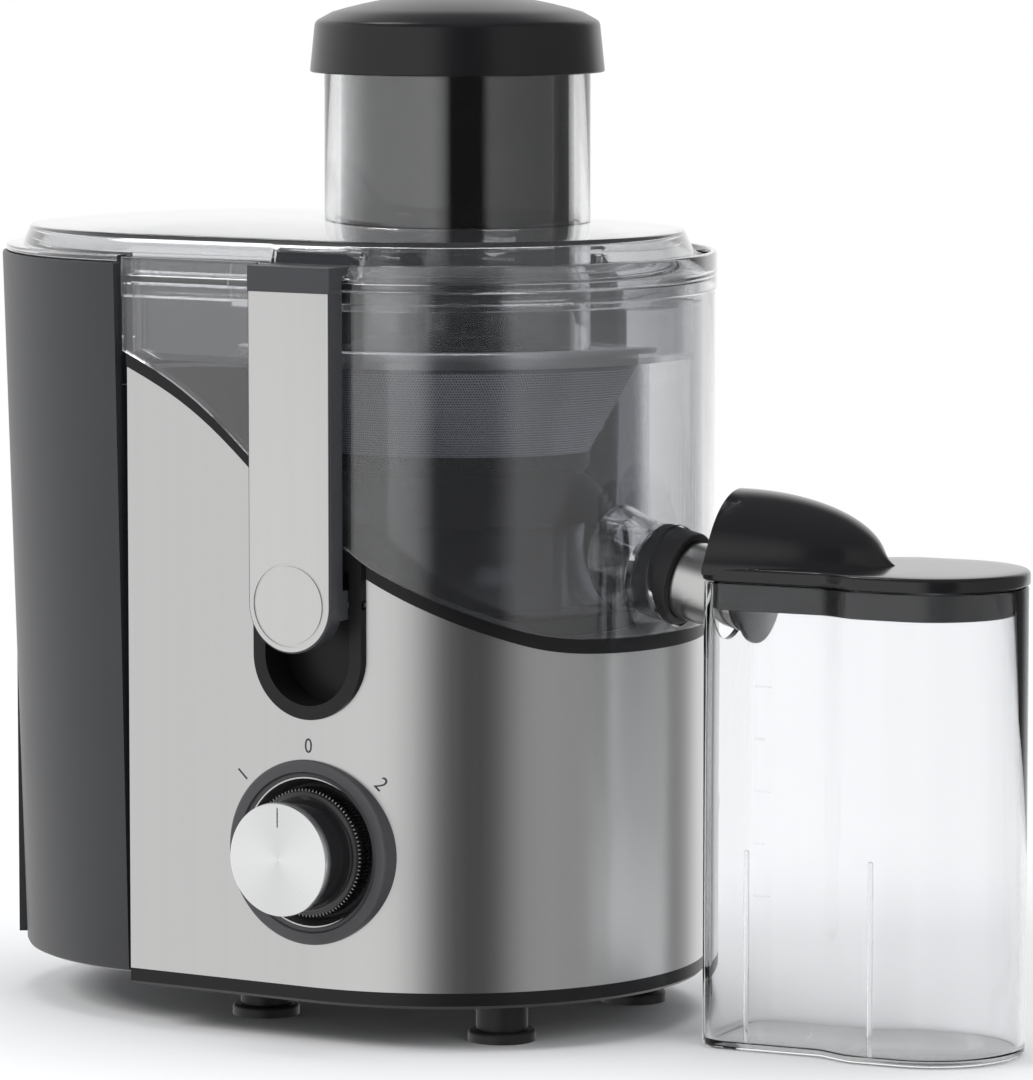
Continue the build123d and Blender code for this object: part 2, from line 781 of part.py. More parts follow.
for side, where in ((-1, "front"), (1, "rear")):
    with BuildPart() as latch_pocket:
        # rim, flat in front and shaped to the panel behind
        with BuildSketch(flank(side, pocket_back)):
            add(u_face(pocket_rim, pocket_centre, collar_top))
        extrude(amount=base_radius + pocket_rim_thickness - pocket_back)
        with BuildSketch(level(0)):
            add(d_face(base_radius, base_left))
        extrude(amount=2 * collar_top, mode=Mode.SUBTRACT)
        with BuildSketch(flank(side, pocket_back)):
            add(u_face(pocket_body, pocket_centre, pocket_top + pocket_wall))
        extrude(amount=base_radius - pocket_back)
        with BuildSketch(flank(side, pocket_back + pocket_wall)):
            add(u_face(pocket_half_width, pocket_centre, pocket_top))
        extrude(amount=pocket_depth + base_radius, mode=Mode.SUBTRACT)
        with BuildSketch(upright()):
            add(wave_face(0, collar_top + wave_reach))
        extrude(amount=all_round / 2, both=True, mode=Mode.SUBTRACT)
        with BuildSketch(across(-pocket_rim, side, latch_pivot_depth, latch_pivot_height)):
            Circle(latch_pin_radius)
        extrude(amount=2 * pocket_rim, mode=Mode.SUBTRACT)
    latch_pocket.part.label = f"latch_pocket_{where}"
    export_step(latch_pocket.part, f"parts/{latch_pocket.part.label}.step")

    with BuildPart() as latch_pin:
        with BuildSketch(across(-pocket_body, side, latch_pivot_depth, latch_pivot_height)):
            Circle(latch_pin_radius)
        extrude(amount=2 * pocket_body)
    latch_pin.part.label = f"latch_pin_{where}"
    export_step(latch_pin.part, f"parts/{latch_pin.part.label}.step")

    with BuildPart() as latch_arm:
        with BuildSketch(cross_plane(side)):
            Polygon(
                (latch_back, latch_pivot_height - latch_half_width),
                (plate_seat, latch_pivot_height - latch_half_width),
                (plate_seat, latch_cap_bottom),
                (latch_face, latch_cap_bottom),
                (latch_face, latch_top - latch_chamfer),
                (latch_face - latch_chamfer, latch_top),
                (hook_tip, latch_top),
                (hook_tip, latch_top - hook_tip_thickness),
                (hook_tip + hook_ramp, hook_underside),
                (latch_back, hook_underside),
                align=None,
            )
            with Locations((latch_pivot_depth, latch_pivot_height)):
                Circle(latch_boss_radius)
            with Locations(((latch_pivot_depth + latch_back) / 2, latch_pivot_height)):
                Rectangle(latch_back - latch_pivot_depth, 2 * latch_boss_radius)
            with Locations((latch_pivot_depth, latch_pivot_height)):
                Circle(latch_pin_radius + turn_gap, mode=Mode.SUBTRACT)
        extrude(amount=latch_half_width, both=True)
        with BuildSketch(flank(side, 0)):
            add(u_face(latch_half_width, latch_pivot_height, collar_top))
        extrude(amount=latch_face, mode=Mode.INTERSECT)
    latch_arm.part.label = f"latch_arm_{where}"
    export_step(latch_arm.part, f"parts/{latch_arm.part.label}.step")

    with BuildPart() as latch_plate:
        with BuildSketch(flank(side, plate_seat)):
            add(u_face(latch_half_width - latch_plate_margin, latch_pivot_height, latch_cap_bottom))
        extrude(amount=latch_plate_thickness)
        with BuildSketch(flank(side, latch_face)):
            with Locations((0, latch_pivot_height)):
                Circle(latch_ring_radius)
                Circle(latch_ring_radius - latch_ring_width, mode=Mode.SUBTRACT)
        extrude(amount=-latch_ring_depth, mode=Mode.SUBTRACT)
    latch_plate.part.label = f"latch_plate_{where}"
    export_step(latch_plate.part, f"parts/{latch_plate.part.label}.step")

# ---------------------------------------------------------------------------
# Speed knob, its bezel and switch
# ---------------------------------------------------------------------------

cup_floor = base_radius - bezel_cup_depth

with BuildPart() as knob_bezel:
    # flat-faced ring, shaped to the panel behind
    with BuildSketch(flank(-1, cup_floor)):
        with Locations((0, knob_height)):
            Circle(bezel_radius)
    extrude(amount=bezel_cup_depth + bezel_thickness)
    fillet(knob_bezel.edges().group_by(Axis.Y)[0], bezel_fillet)
    with BuildSketch(level(0)):
        add(d_face(base_radius, base_left))
    extrude(amount=2 * knob_height, mode=Mode.SUBTRACT)
    with BuildSketch(flank(-1, cup_floor)):
        with Locations((0, knob_height)):
            Circle(bezel_cup_radius)
    extrude(amount=bezel_cup_depth)
    with BuildSketch(flank(-1, cup_floor + bezel_cup_wall)):
        with Locations((0, knob_height)):
            Circle(bezel_cup_radius - bezel_cup_wall)
    extrude(amount=bezel_cup_depth + bezel_thickness, mode=Mode.SUBTRACT)
    with BuildSketch(flank(-1, cup_floor)):
        with Locations((0, knob_height)):
            Circle(knob_shaft_radius + move_gap)
    extrude(amount=bezel_cup_wall, mode=Mode.SUBTRACT)
knob_bezel.part.label = "knob_bezel"
export_step(knob_bezel.part, "parts/knob_bezel.step")

knob_back = cup_floor + bezel_cup_wall + move_gap
knob_shaft_end = cup_floor - switch_size[2] + knob_shaft_clearance
cap_seat = knob_face - knob_cap_thickness

with BuildPart() as knob_body:
    with BuildSketch(flank(-1, knob_back)):
        with Locations((0, knob_height)):
            Circle(knob_skirt_radius)
    extrude(amount=knob_skirt_length)
    chamfer(knob_body.edges().group_by(Axis.Y)[0], knob_skirt_chamfer)
    with BuildSketch(flank(-1, knob_back)):
        with Locations((0, knob_height)):
            Circle(knob_body_radius)
    extrude(amount=cap_seat - knob_back)
    with BuildSketch(flank(-1, knob_shaft_end)):
        with Locations((0, knob_height)):
            Circle(knob_shaft_radius)
    extrude(amount=knob_back - knob_shaft_end)
knob_body.part.label = "knob_body"
export_step(knob_body.part, "parts/knob_body.step")

with BuildPart() as knob_cap:
    with BuildSketch(flank(-1, cap_seat)):
        with Locations((0, knob_height)):
            Circle(knob_cap_radius)
    extrude(amount=knob_cap_thickness)
    chamfer(knob_cap.edges().group_by(Axis.Y)[0], knob_cap_chamfer)
    marker_width, marker_length, marker_depth = knob_marker_size
    with BuildSketch(flank(-1, knob_face)):
        with Locations((0, knob_height + knob_cap_radius - knob_marker_inset - marker_length / 2)):
            Rectangle(marker_width, marker_length)
    extrude(amount=-marker_depth, mode=Mode.SUBTRACT)
knob_cap.part.label = "knob_cap"
export_step(knob_cap.part, "parts/knob_cap.step")

with BuildPart() as switch_body:
    with BuildSketch(flank(-1, cup_floor - switch_size[2])):
        with Locations((0, knob_height)):
            RectangleRounded(switch_size[0], switch_size[1], switch_corner)
    extrude(amount=switch_size[2])
    with BuildSketch(flank(-1, knob_shaft_end - move_gap)):
        with Locations((0, knob_height)):
            Circle(knob_shaft_radius + turn_gap)
    extrude(amount=switch_size[2], mode=Mode.SUBTRACT)
switch_body.part.label = "switch_body"
export_step(switch_body.part, "parts/switch_body.step")

with BuildPart() as safety_switch:
    with BuildSketch(flank(-1, pocket_back - safety_switch_size[2])):
        with Locations((0, safety_switch_height)):
            RectangleRounded(safety_switch_size[0], safety_switch_size[1], safety_switch_corner)
    extrude(amount=safety_switch_size[2])
safety_switch.part.label = "safety_switch"
export_step(safety_switch.part, "parts/safety_switch.step")

with BuildPart() as cord_gland:
    with BuildSketch(flank(1, well_radius - gland_inside)):
        with Locations((-gland_x, gland_height)):
            Circle(gland_neck_radius)
    extrude(amount=base_radius - well_radius + gland_inside)
    with BuildSketch(flank(1, base_radius)):
        with Locations((-gland_x, gland_height)):
            Circle(gland_radius)
    extrude(amount=gland_flange)
    fillet(cord_gland.edges().group_by(Axis.Y)[-1], gland_fillet)
    with BuildSketch(flank(1, base_radius + gland_flange)):
        with Locations((-gland_x, gland_height)):
            Circle(gland_recess_radius)
    extrude(amount=-gland_recess_depth, mode=Mode.SUBTRACT)
cord_gland.part.label = "cord_gland"
export_step(cord_gland.part, "parts/cord_gland.step")

# ---------------------------------------------------------------------------
# Motor
# ---------------------------------------------------------------------------

with BuildPart() as motor_mounts:
    with BuildSketch(level(mount_bottom)):
        with GridLocations(mount_spacing[0], mount_spacing[1], 2, 2):
            Circle(mount_radius)
    extrude(amount=mount_height)
motor_mounts.part.label = "motor_mounts"
export_step(motor_mounts.part, "parts/motor_mounts.step")

with BuildPart() as lower_bracket:
    with BuildSketch(level(lower_bracket_height)):
        RectangleRounded(bracket_size[0], bracket_size[1], bracket_corner)
    extrude(amount=bracket_thickness)
    with BuildSketch(level(bearing_bottom)):
        Circle(bearing_radius + cup_wall)
    extrude(amount=bearing_height)
    with BuildSketch(level(bearing_bottom)):
        Circle(bearing_radius)
    extrude(amount=bearing_height, mode=Mode.SUBTRACT)
    with BuildSketch(level(bearing_bottom)):
        with GridLocations(leg_spacing[0], leg_spacing[1], 2, 2):
            Rectangle(leg_size, leg_size)
    extrude(amount=stator_bottom - bearing_bottom)
    with BuildSketch(level(lower_bracket_height)):
        Circle(bearing_radius - cup_lip)
        with GridLocations(bracket_vent_spacing, 1, 2, 1):
            Rectangle(bracket_vent_size[0], bracket_vent_size[1])
    extrude(amount=bracket_thickness, mode=Mode.SUBTRACT)
lower_bracket.part.label = "lower_bracket"
export_step(lower_bracket.part, "parts/lower_bracket.step")

upper_bearing_bottom = upper_bracket_height + bracket_thickness

with BuildPart() as upper_bracket:
    with BuildSketch(level(upper_bracket_height)):
        RectangleRounded(bracket_size[0], bracket_size[1], bracket_corner)
    extrude(amount=bracket_thickness)
    with BuildSketch(level(upper_bearing_bottom)):
        Circle(bearing_radius + cup_wall)
    extrude(amount=bearing_height)
    with BuildSketch(level(upper_bearing_bottom)):
        Circle(bearing_radius)
    extrude(amount=bearing_height, mode=Mode.SUBTRACT)
    with BuildSketch(level(stator_top)):
        with GridLocations(leg_spacing[0], leg_spacing[1], 2, 2):
            Rectangle(leg_size, leg_size)
    extrude(amount=upper_bracket_height - stator_top)
    with BuildSketch(level(upper_bracket_height)):
        Circle(bearing_radius - cup_lip)
        with Locations(*motor_screw_places):
            Circle(motor_screw_radius + nest_gap)
        with GridLocations(bracket_vent_spacing, 1, 2, 1):
            Rectangle(bracket_vent_size[0], bracket_vent_size[1])
    extrude(amount=bracket_thickness, mode=Mode.SUBTRACT)
upper_bracket.part.label = "upper_bracket"
export_step(upper_bracket.part, "parts/upper_bracket.step")

for bearing_name, bottom in (("lower_bearing", bearing_bottom), ("upper_bearing", upper_bearing_bottom)):
    with BuildPart() as bearing:
        with BuildSketch(level(bottom)):
            Circle(bearing_radius - turn_gap)
            Circle(shaft_radius + turn_gap, mode=Mode.SUBTRACT)
        extrude(amount=bearing_height)
    bearing.part.label = bearing_name
    export_step(bearing.part, f"parts/{bearing_name}.step")

with BuildPart() as motor_screws:
    with BuildSketch(level(upper_bracket_height - motor_screw_radius)):
        with Locations(*motor_screw_places):
            Circle(motor_screw_head_radius)
    extrude(amount=motor_screw_radius)
    with BuildSketch(level(upper_bracket_height)):
        with Locations(*motor_screw_places):
            Circle(motor_screw_radius)
    extrude(amount=motor_screw_length)
motor_screws.part.label = "motor_screws"
export_step(motor_screws.part, "parts/motor_screws.step")

# each field coil has two legs in the stator's slots and an end turn over each face
winding_leg_offset = winding_span - winding_slot_angle / 2
slot_inner = winding_inner - move_gap
slot_outer = winding_outer + move_gap
slot_half_angle = winding_slot_angle / 2 + winding_slot_margin

with BuildPart() as stator_core:
    with BuildSketch(level(stator_bottom)):
        RectangleRounded(stator_size[0], stator_size[1], stator_corner)
        Circle(bore_radius, mode=Mode.SUBTRACT)
        for middle in opposite_ways:
            for turn in (-winding_leg_offset, winding_leg_offset):
                add(ring_sector(slot_inner, slot_outer, middle + turn, slot_half_angle), mode=Mode.SUBTRACT)
    extrude(amount=stator_height)
stator_core.part.label = "stator_core"
export_step(stator_core.part, "parts/stator_core.step")

with BuildPart() as field_windings:
    for middle in opposite_ways:
        with BuildSketch(level(stator_bottom - winding_end)):
            add(ring_sector(winding_inner, winding_outer, middle, winding_span))
        extrude(amount=winding_end)
        with BuildSketch(level(stator_top)):
            add(ring_sector(winding_inner, winding_outer, middle, winding_span))
        extrude(amount=winding_end)
        with BuildSketch(level(stator_bottom - winding_end)):
            for turn in (-winding_leg_offset, winding_leg_offset):
                add(ring_sector(winding_inner, winding_outer, middle + turn, winding_slot_angle / 2))
        extrude(amount=stator_height + 2 * winding_end)
field_windings.part.label = "field_windings"
export_step(field_windings.part, "parts/field_windings.step")

brush_height = commutator_bottom + commutator_height / 2
brush_inner = commutator_radius + move_gap
holder_outer = brush_size + 2 * holder_wall
holder_middle = brush_inner + (brush_length + brush_stick_out) / 2

with BuildPart() as brush_holders:
    with BuildSketch(level(bearing_bottom)):
        with Locations((0, -holder_middle), (0, holder_middle)):
            Rectangle(holder_outer, brush_length - brush_stick_out)
    extrude(amount=brush_height + holder_outer / 2 - bearing_bottom)
    with BuildSketch(level(brush_height - brush_size / 2 - nest_gap)):
        Rectangle(brush_size + 2 * nest_gap, 4 * brush_length)
    extrude(amount=brush_size + 2 * nest_gap, mode=Mode.SUBTRACT)
    with BuildSketch(level(bearing_bottom)):
        Circle(bearing_radius + cup_wall + nest_gap)
    extrude(amount=bearing_height + nest_gap, mode=Mode.SUBTRACT)
brush_holders.part.label = "brush_holders"
export_step(brush_holders.part, "parts/brush_holders.step")

with BuildPart() as carbon_brushes:
    with BuildSketch(level(brush_height - brush_size / 2)):
        with Locations((0, -brush_inner - brush_length / 2), (0, brush_inner + brush_length / 2)):
            Rectangle(brush_size, brush_length)
        Circle(brush_inner, mode=Mode.SUBTRACT)
    extrude(amount=brush_size)
carbon_brushes.part.label = "carbon_brushes"
export_step(carbon_brushes.part, "parts/carbon_brushes.step")

# ---------------------------------------------------------------------------
# Rotor: shaft, armature, commutator, fan and drive coupling
# ---------------------------------------------------------------------------

with BuildPart() as motor_shaft:
    with BuildSketch(level(shaft_bottom)):
        Circle(shaft_radius)
    extrude(amount=coupling_shoulder - shaft_bottom)
    chamfer(motor_shaft.edges(), shaft_chamfer)
motor_shaft.part.label = "motor_shaft"
export_step(motor_shaft.part, "parts/motor_shaft.step")

with BuildPart() as armature:
    with BuildSketch(level(stator_bottom)):
        Circle(armature_radius)
        with PolarLocations(armature_radius - armature_slot_depth, armature_slots):
            Rectangle(armature_slot_size[0], armature_slot_size[1], mode=Mode.SUBTRACT)
    extrude(amount=stator_height)
    with BuildSketch(level(stator_bottom - armature_winding_end)):
        Circle(armature_winding_radius)
    extrude(amount=stator_height + 2 * armature_winding_end)
    with BuildSketch(level(stator_bottom - armature_winding_end)):
        Circle(shaft_radius)
    extrude(amount=stator_height + 2 * armature_winding_end, mode=Mode.SUBTRACT)
armature.part.label = "armature"
export_step(armature.part, "parts/armature.step")

with BuildPart() as commutator:
    with BuildSketch(level(commutator_bottom)):
        Circle(commutator_radius)
        with PolarLocations(commutator_radius, commutator_bars):
            Rectangle(commutator_slot[0], commutator_slot[1], mode=Mode.SUBTRACT)
        Circle(shaft_radius, mode=Mode.SUBTRACT)
    extrude(amount=commutator_height)
commutator.part.label = "commutator"
export_step(commutator.part, "parts/commutator.step")

with BuildPart() as cooling_fan:
    with BuildSketch(level(fan_bottom)):
        Circle(fan_radius)
    extrude(amount=fan_disc_thickness)
    with BuildSketch(level(fan_bottom)):
        Circle(fan_hub_radius)
        with PolarLocations((fan_radius + fan_hub_radius) / 2 - fan_blade_inset, fan_blades):
            Rectangle(fan_radius - fan_hub_radius, fan_blade_thickness, rotation=fan_blade_angle)
    extrude(amount=fan_height)
    with BuildSketch(level(fan_bottom)):
        Circle(shaft_radius)
    extrude(amount=fan_height, mode=Mode.SUBTRACT)
cooling_fan.part.label = "cooling_fan"
export_step(cooling_fan.part, "parts/cooling_fan.step")

with BuildPart() as drive_coupling:
    with BuildSketch(level(coupling_bottom)):
        Circle(coupling_radius)
    extrude(amount=coupling_shoulder - coupling_bottom)
    with BuildSketch(level(coupling_shoulder)):
        RegularPolygon(coupling_drive_radius, 6)
    extrude(amount=coupling_top - coupling_shoulder)
    chamfer(drive_coupling.edges().group_by(Axis.Z)[-1], coupling_chamfer)
    with BuildSketch(level(coupling_bottom)):
        Circle(shaft_radius)
    extrude(amount=coupling_shoulder - coupling_bottom, mode=Mode.SUBTRACT)
drive_coupling.part.label = "drive_coupling"
export_step(drive_coupling.part, "parts/drive_coupling.step")

# ---------------------------------------------------------------------------
# Strainer basket: turns with the rotor
# ---------------------------------------------------------------------------

with BuildPart() as basket_hub:
    with BuildSketch(upright()):
        with BuildLine():
            skirt = (hub_skirt_radius, hub_skirt_height)
            neck = (hub_neck_radius, hub_neck_height)
            inner_skirt = (hub_skirt_radius - hub_wall, hub_skirt_height)
            inner_neck = (hub_neck_radius - hub_wall, hub_neck_height - hub_neck_drop)
            outside = RadiusArc(skirt, neck, -hub_arc_radius)
            Polyline(
                outside @ 1,
                (hub_ring_radius, hub_neck_height + hub_neck_rise),
                (hub_ring_radius, hub_top),
                (0, hub_top),
                (0, hub_top - hub_wall),
                (hub_neck_radius - hub_wall, hub_top - hub_wall),
                inner_neck,
            )
            RadiusArc(inner_neck, inner_skirt, hub_inner_arc_radius)
            Line(inner_skirt, skirt)
        make_face()
    revolve(axis=spin)
    with BuildSketch(level(hub_boss_bottom)):
        Circle(hub_boss_radius)
    extrude(amount=hub_top - hub_wall - hub_boss_bottom)
    with BuildSketch(level(hub_boss_bottom)):
        RegularPolygon(coupling_drive_radius + nest_gap, 6)
    extrude(amount=coupling_top + nest_gap - hub_boss_bottom, mode=Mode.SUBTRACT)
basket_hub.part.label = "basket_hub"
export_step(basket_hub.part, "parts/basket_hub.step")

with BuildPart() as sieve_cone:
    with BuildSketch(upright()):
        Polygon(
            (hub_ring_radius - sieve_thickness, hub_top),
            (hub_ring_radius, hub_top),
            (sieve_top_radius, sieve_top),
            (sieve_top_radius - sieve_thickness, sieve_top),
            align=None,
        )
    revolve(axis=spin)
sieve_cone.part.label = "sieve_cone"
export_step(sieve_cone.part, "parts/sieve_cone.step")

with BuildPart() as basket_rim:
    with BuildSketch(upright()):
        Polygon(
            (sieve_top_radius - 2 * sieve_thickness, sieve_top),
            (sieve_top_radius + sieve_thickness, sieve_top),
            (sieve_top_radius + sieve_thickness, rim_flange_height),
            (rim_radius, rim_flange_height),
            (rim_radius, rim_top),
            (sieve_top_radius - 2 * sieve_thickness, rim_top),
            align=None,
        )
    revolve(axis=spin)
    fillet(basket_rim.edges().group_by(Axis.Z)[-1], rim_fillet)
basket_rim.part.label = "basket_rim"
export_step(basket_rim.part, "parts/basket_rim.step")

with BuildPart() as grater_disc:
    with BuildSketch(level(hub_top)):
        Circle(hub_ring_radius - 2 * sieve_thickness)
    extrude(amount=disc_thickness)
    with BuildSketch(level(hub_top + disc_thickness)):
        for ring_radius, teeth in zip(tooth_ring_radii, tooth_counts):
            with PolarLocations(ring_radius, teeth):
                Rectangle(tooth_thickness, tooth_length)
    extrude(amount=tooth_height)
grater_disc.part.label = "grater_disc"
export_step(grater_disc.part, "parts/grater_disc.step")

# ---------------------------------------------------------------------------
# Juice bowl and spout
# ---------------------------------------------------------------------------

tray_floor = tray_height + bowl_wall
collar_inner = collar_radius - collar_wall
shroud_inner = shroud_radius - bowl_wall

with BuildPart() as bowl_shroud:
    # outer wall that stands on the sweeping edge, and the tray's wall inside it
    with BuildSketch(level(deck_height)):
        add(d_face(shroud_radius, base_left))
        add(d_face(shroud_inner, base_left + bowl_wall), mode=Mode.SUBTRACT)
    extrude(amount=web_top - deck_height)
    with BuildSketch(level(deck_height)):
        with Locations((base_left, 0)):
            Rectangle(4 * bowl_wall, 2 * tray_radius)
    extrude(amount=collar_top, mode=Mode.SUBTRACT)
    with BuildSketch(upright()):
        add(wave_face(shroud_bottom_gap, 0))
    extrude(amount=all_round / 2, both=True, mode=Mode.SUBTRACT)
    with BuildSketch(level(tray_floor)):
        add(d_face(tray_radius, base_left))
        add(d_face(tray_radius - bowl_wall, base_left - cut_past), mode=Mode.SUBTRACT)
    extrude(amount=web_height - tray_floor)
    # window for the spout
    with BuildSketch(spout_plane(stub_start)):
        Circle(stub_radius + stub_clearance)
    extrude(amount=spout_reach - stub_start, mode=Mode.SUBTRACT)
    # web and collar that carry the lid
    with BuildSketch(level(web_height)):
        add(d_face(shroud_radius - web_inset, base_left))
        add(d_face(tray_radius - bowl_wall, base_left - cut_past), mode=Mode.SUBTRACT)
    extrude(amount=bowl_wall)
    with BuildSketch(level(collar_bottom)):
        add(d_face(collar_radius, base_left))
        add(d_face(collar_inner, base_left - cut_past), mode=Mode.SUBTRACT)
    extrude(amount=collar_top - collar_bottom)
    for side in (-1, 1):
        with BuildSketch(flank(side, tray_radius)):
            with Locations((0, ledge_top + collar_wall)):
                Rectangle(2 * (latch_half_width + hook_notch_margin), 2 * collar_wall)
        extrude(amount=latch_face - tray_radius, mode=Mode.SUBTRACT)
bowl_shroud.part.label = "bowl_shroud"
export_step(bowl_shroud.part, "parts/bowl_shroud.step")

with BuildPart() as bowl_tray:
    with BuildSketch(level(tray_height)):
        add(d_face(tray_radius, base_left))
        Circle(chamber_radius - bowl_wall, mode=Mode.SUBTRACT)
    extrude(amount=bowl_wall)
    # chute into the bin
    with BuildSketch(upright()):
        Polygon(
            (base_left + bowl_wall, tray_height),
            (base_left + bowl_wall, tray_floor),
            (base_left, tray_floor),
            (base_left - chute_length, tray_floor - chute_drop),
            (base_left - chute_length, tray_height - chute_drop),
            (base_left, tray_height),
            align=None,
        )
    extrude(amount=chute_half_width, both=True)
bowl_tray.part.label = "bowl_tray"
export_step(bowl_tray.part, "parts/bowl_tray.step")

dome_outer_foot = (dome_foot_radius - bowl_wall, chamber_floor)
dome_inner_foot = (dome_foot_radius, chamber_floor + bowl_wall)

with BuildPart() as juice_chamber:
    with BuildSketch(upright()):
        Polygon(
            dome_outer_foot,
            (chamber_radius, chamber_floor),
            (chamber_radius, tray_height),
            (chamber_radius - bowl_wall, tray_height),
            (chamber_radius - bowl_wall, chamber_floor + bowl_wall),
            dome_inner_foot,
            align=None,
        )
    revolve(axis=spin)
    with BuildSketch(spout_plane(stub_start - stub_cut_past)):
        Circle(spout_bore)
    extrude(amount=stub_end - stub_start + 2 * stub_cut_past, mode=Mode.SUBTRACT)
juice_chamber.part.label = "juice_chamber"
export_step(juice_chamber.part, "parts/juice_chamber.step")

with BuildPart() as chamber_dome:
    with BuildSketch(upright()):
        with BuildLine():
            outer_shoulder = (dome_radius - bowl_wall, dome_shoulder)
            inner_shoulder = (dome_radius, dome_shoulder + bowl_wall)
            RadiusArc(dome_outer_foot, outer_shoulder, -dome_arc_radius)
            Polyline(
                outer_shoulder,
                (dome_radius - bowl_wall, dome_top - bowl_wall),
                (dome_hole_radius, dome_top - bowl_wall),
                (dome_hole_radius, dome_top),
                (dome_radius, dome_top),
                inner_shoulder,
            )
            RadiusArc(inner_shoulder, dome_inner_foot, dome_arc_radius + bowl_wall)
            Line(dome_inner_foot, dome_outer_foot)
        make_face()
    revolve(axis=spin)
chamber_dome.part.label = "chamber_dome"
export_step(chamber_dome.part, "parts/chamber_dome.step")

with BuildPart() as spout_stub:
    with BuildSketch(spout_plane(stub_start)):
        Circle(stub_radius)
        Circle(spout_bore, mode=Mode.SUBTRACT)
    extrude(amount=stub_end - stub_start)
    with BuildSketch(level(chamber_floor)):
        Circle(chamber_radius)
    extrude(amount=tray_height - chamber_floor, mode=Mode.SUBTRACT)
spout_stub.part.label = "spout_stub"
export_step(spout_stub.part, "parts/spout_stub.step")

with BuildPart() as spout_seal:
    with BuildSketch(spout_plane(stub_end)):
        Circle(spout_seal_radius)
        Circle(spout_radius + turn_gap, mode=Mode.SUBTRACT)
    extrude(amount=spout_seal_length)
    fillet(spout_seal.edges().group_by(Axis.X)[-1].sort_by(SortBy.LENGTH)[-1], spout_seal_fillet)
spout_seal.part.label = "spout_seal"
export_step(spout_seal.part, "parts/spout_seal.step")

with BuildPart() as spout_tube:
    with BuildSketch(spout_plane(stub_end)):
        Circle(spout_radius)
        Circle(spout_bore, mode=Mode.SUBTRACT)
    extrude(amount=2 * spout_reach - stub_end)
    with BuildSketch(across(spout_x + spout_reach, 1, 0, spout_height)):
        Rectangle(4 * spout_reach, 4 * spout_reach)
    extrude(amount=2 * spout_reach, mode=Mode.SUBTRACT)
spout_tube.part.label = "spout_tube"
export_step(spout_tube.part, "parts/spout_tube.step")

# ---------------------------------------------------------------------------
# Lid with its feed tube
# ---------------------------------------------------------------------------


def crown_half(radius, edge):
    """Half a section of the crowned plate; revolved, it covers the lid's round ends."""
    arc_radius = (radius**2 + lid_crown**2) / (2 * lid_crown)
    with BuildSketch() as half:
        with BuildLine():
            RadiusArc((0, edge + lid_crown), (radius, edge), arc_radius)
            Polyline((radius, edge), (0, edge), (0, edge + lid_crown))
        make_face()
    return half.sketch


def crown_section(radius, edge):
    """Whole section of the crowned plate, for the stretch between its round ends."""
    with BuildSketch() as section:
        with BuildLine():
            ThreePointArc((-radius, edge), (0, edge + lid_crown), (radius, edge))
            Line((radius, edge), (-radius, edge))
        make_face()
    return section.sketch


lid_cross = Plane(origin=(axis_x, axis_y, 0), x_dir=(0, -1, 0), z_dir=(-1, 0, 0))

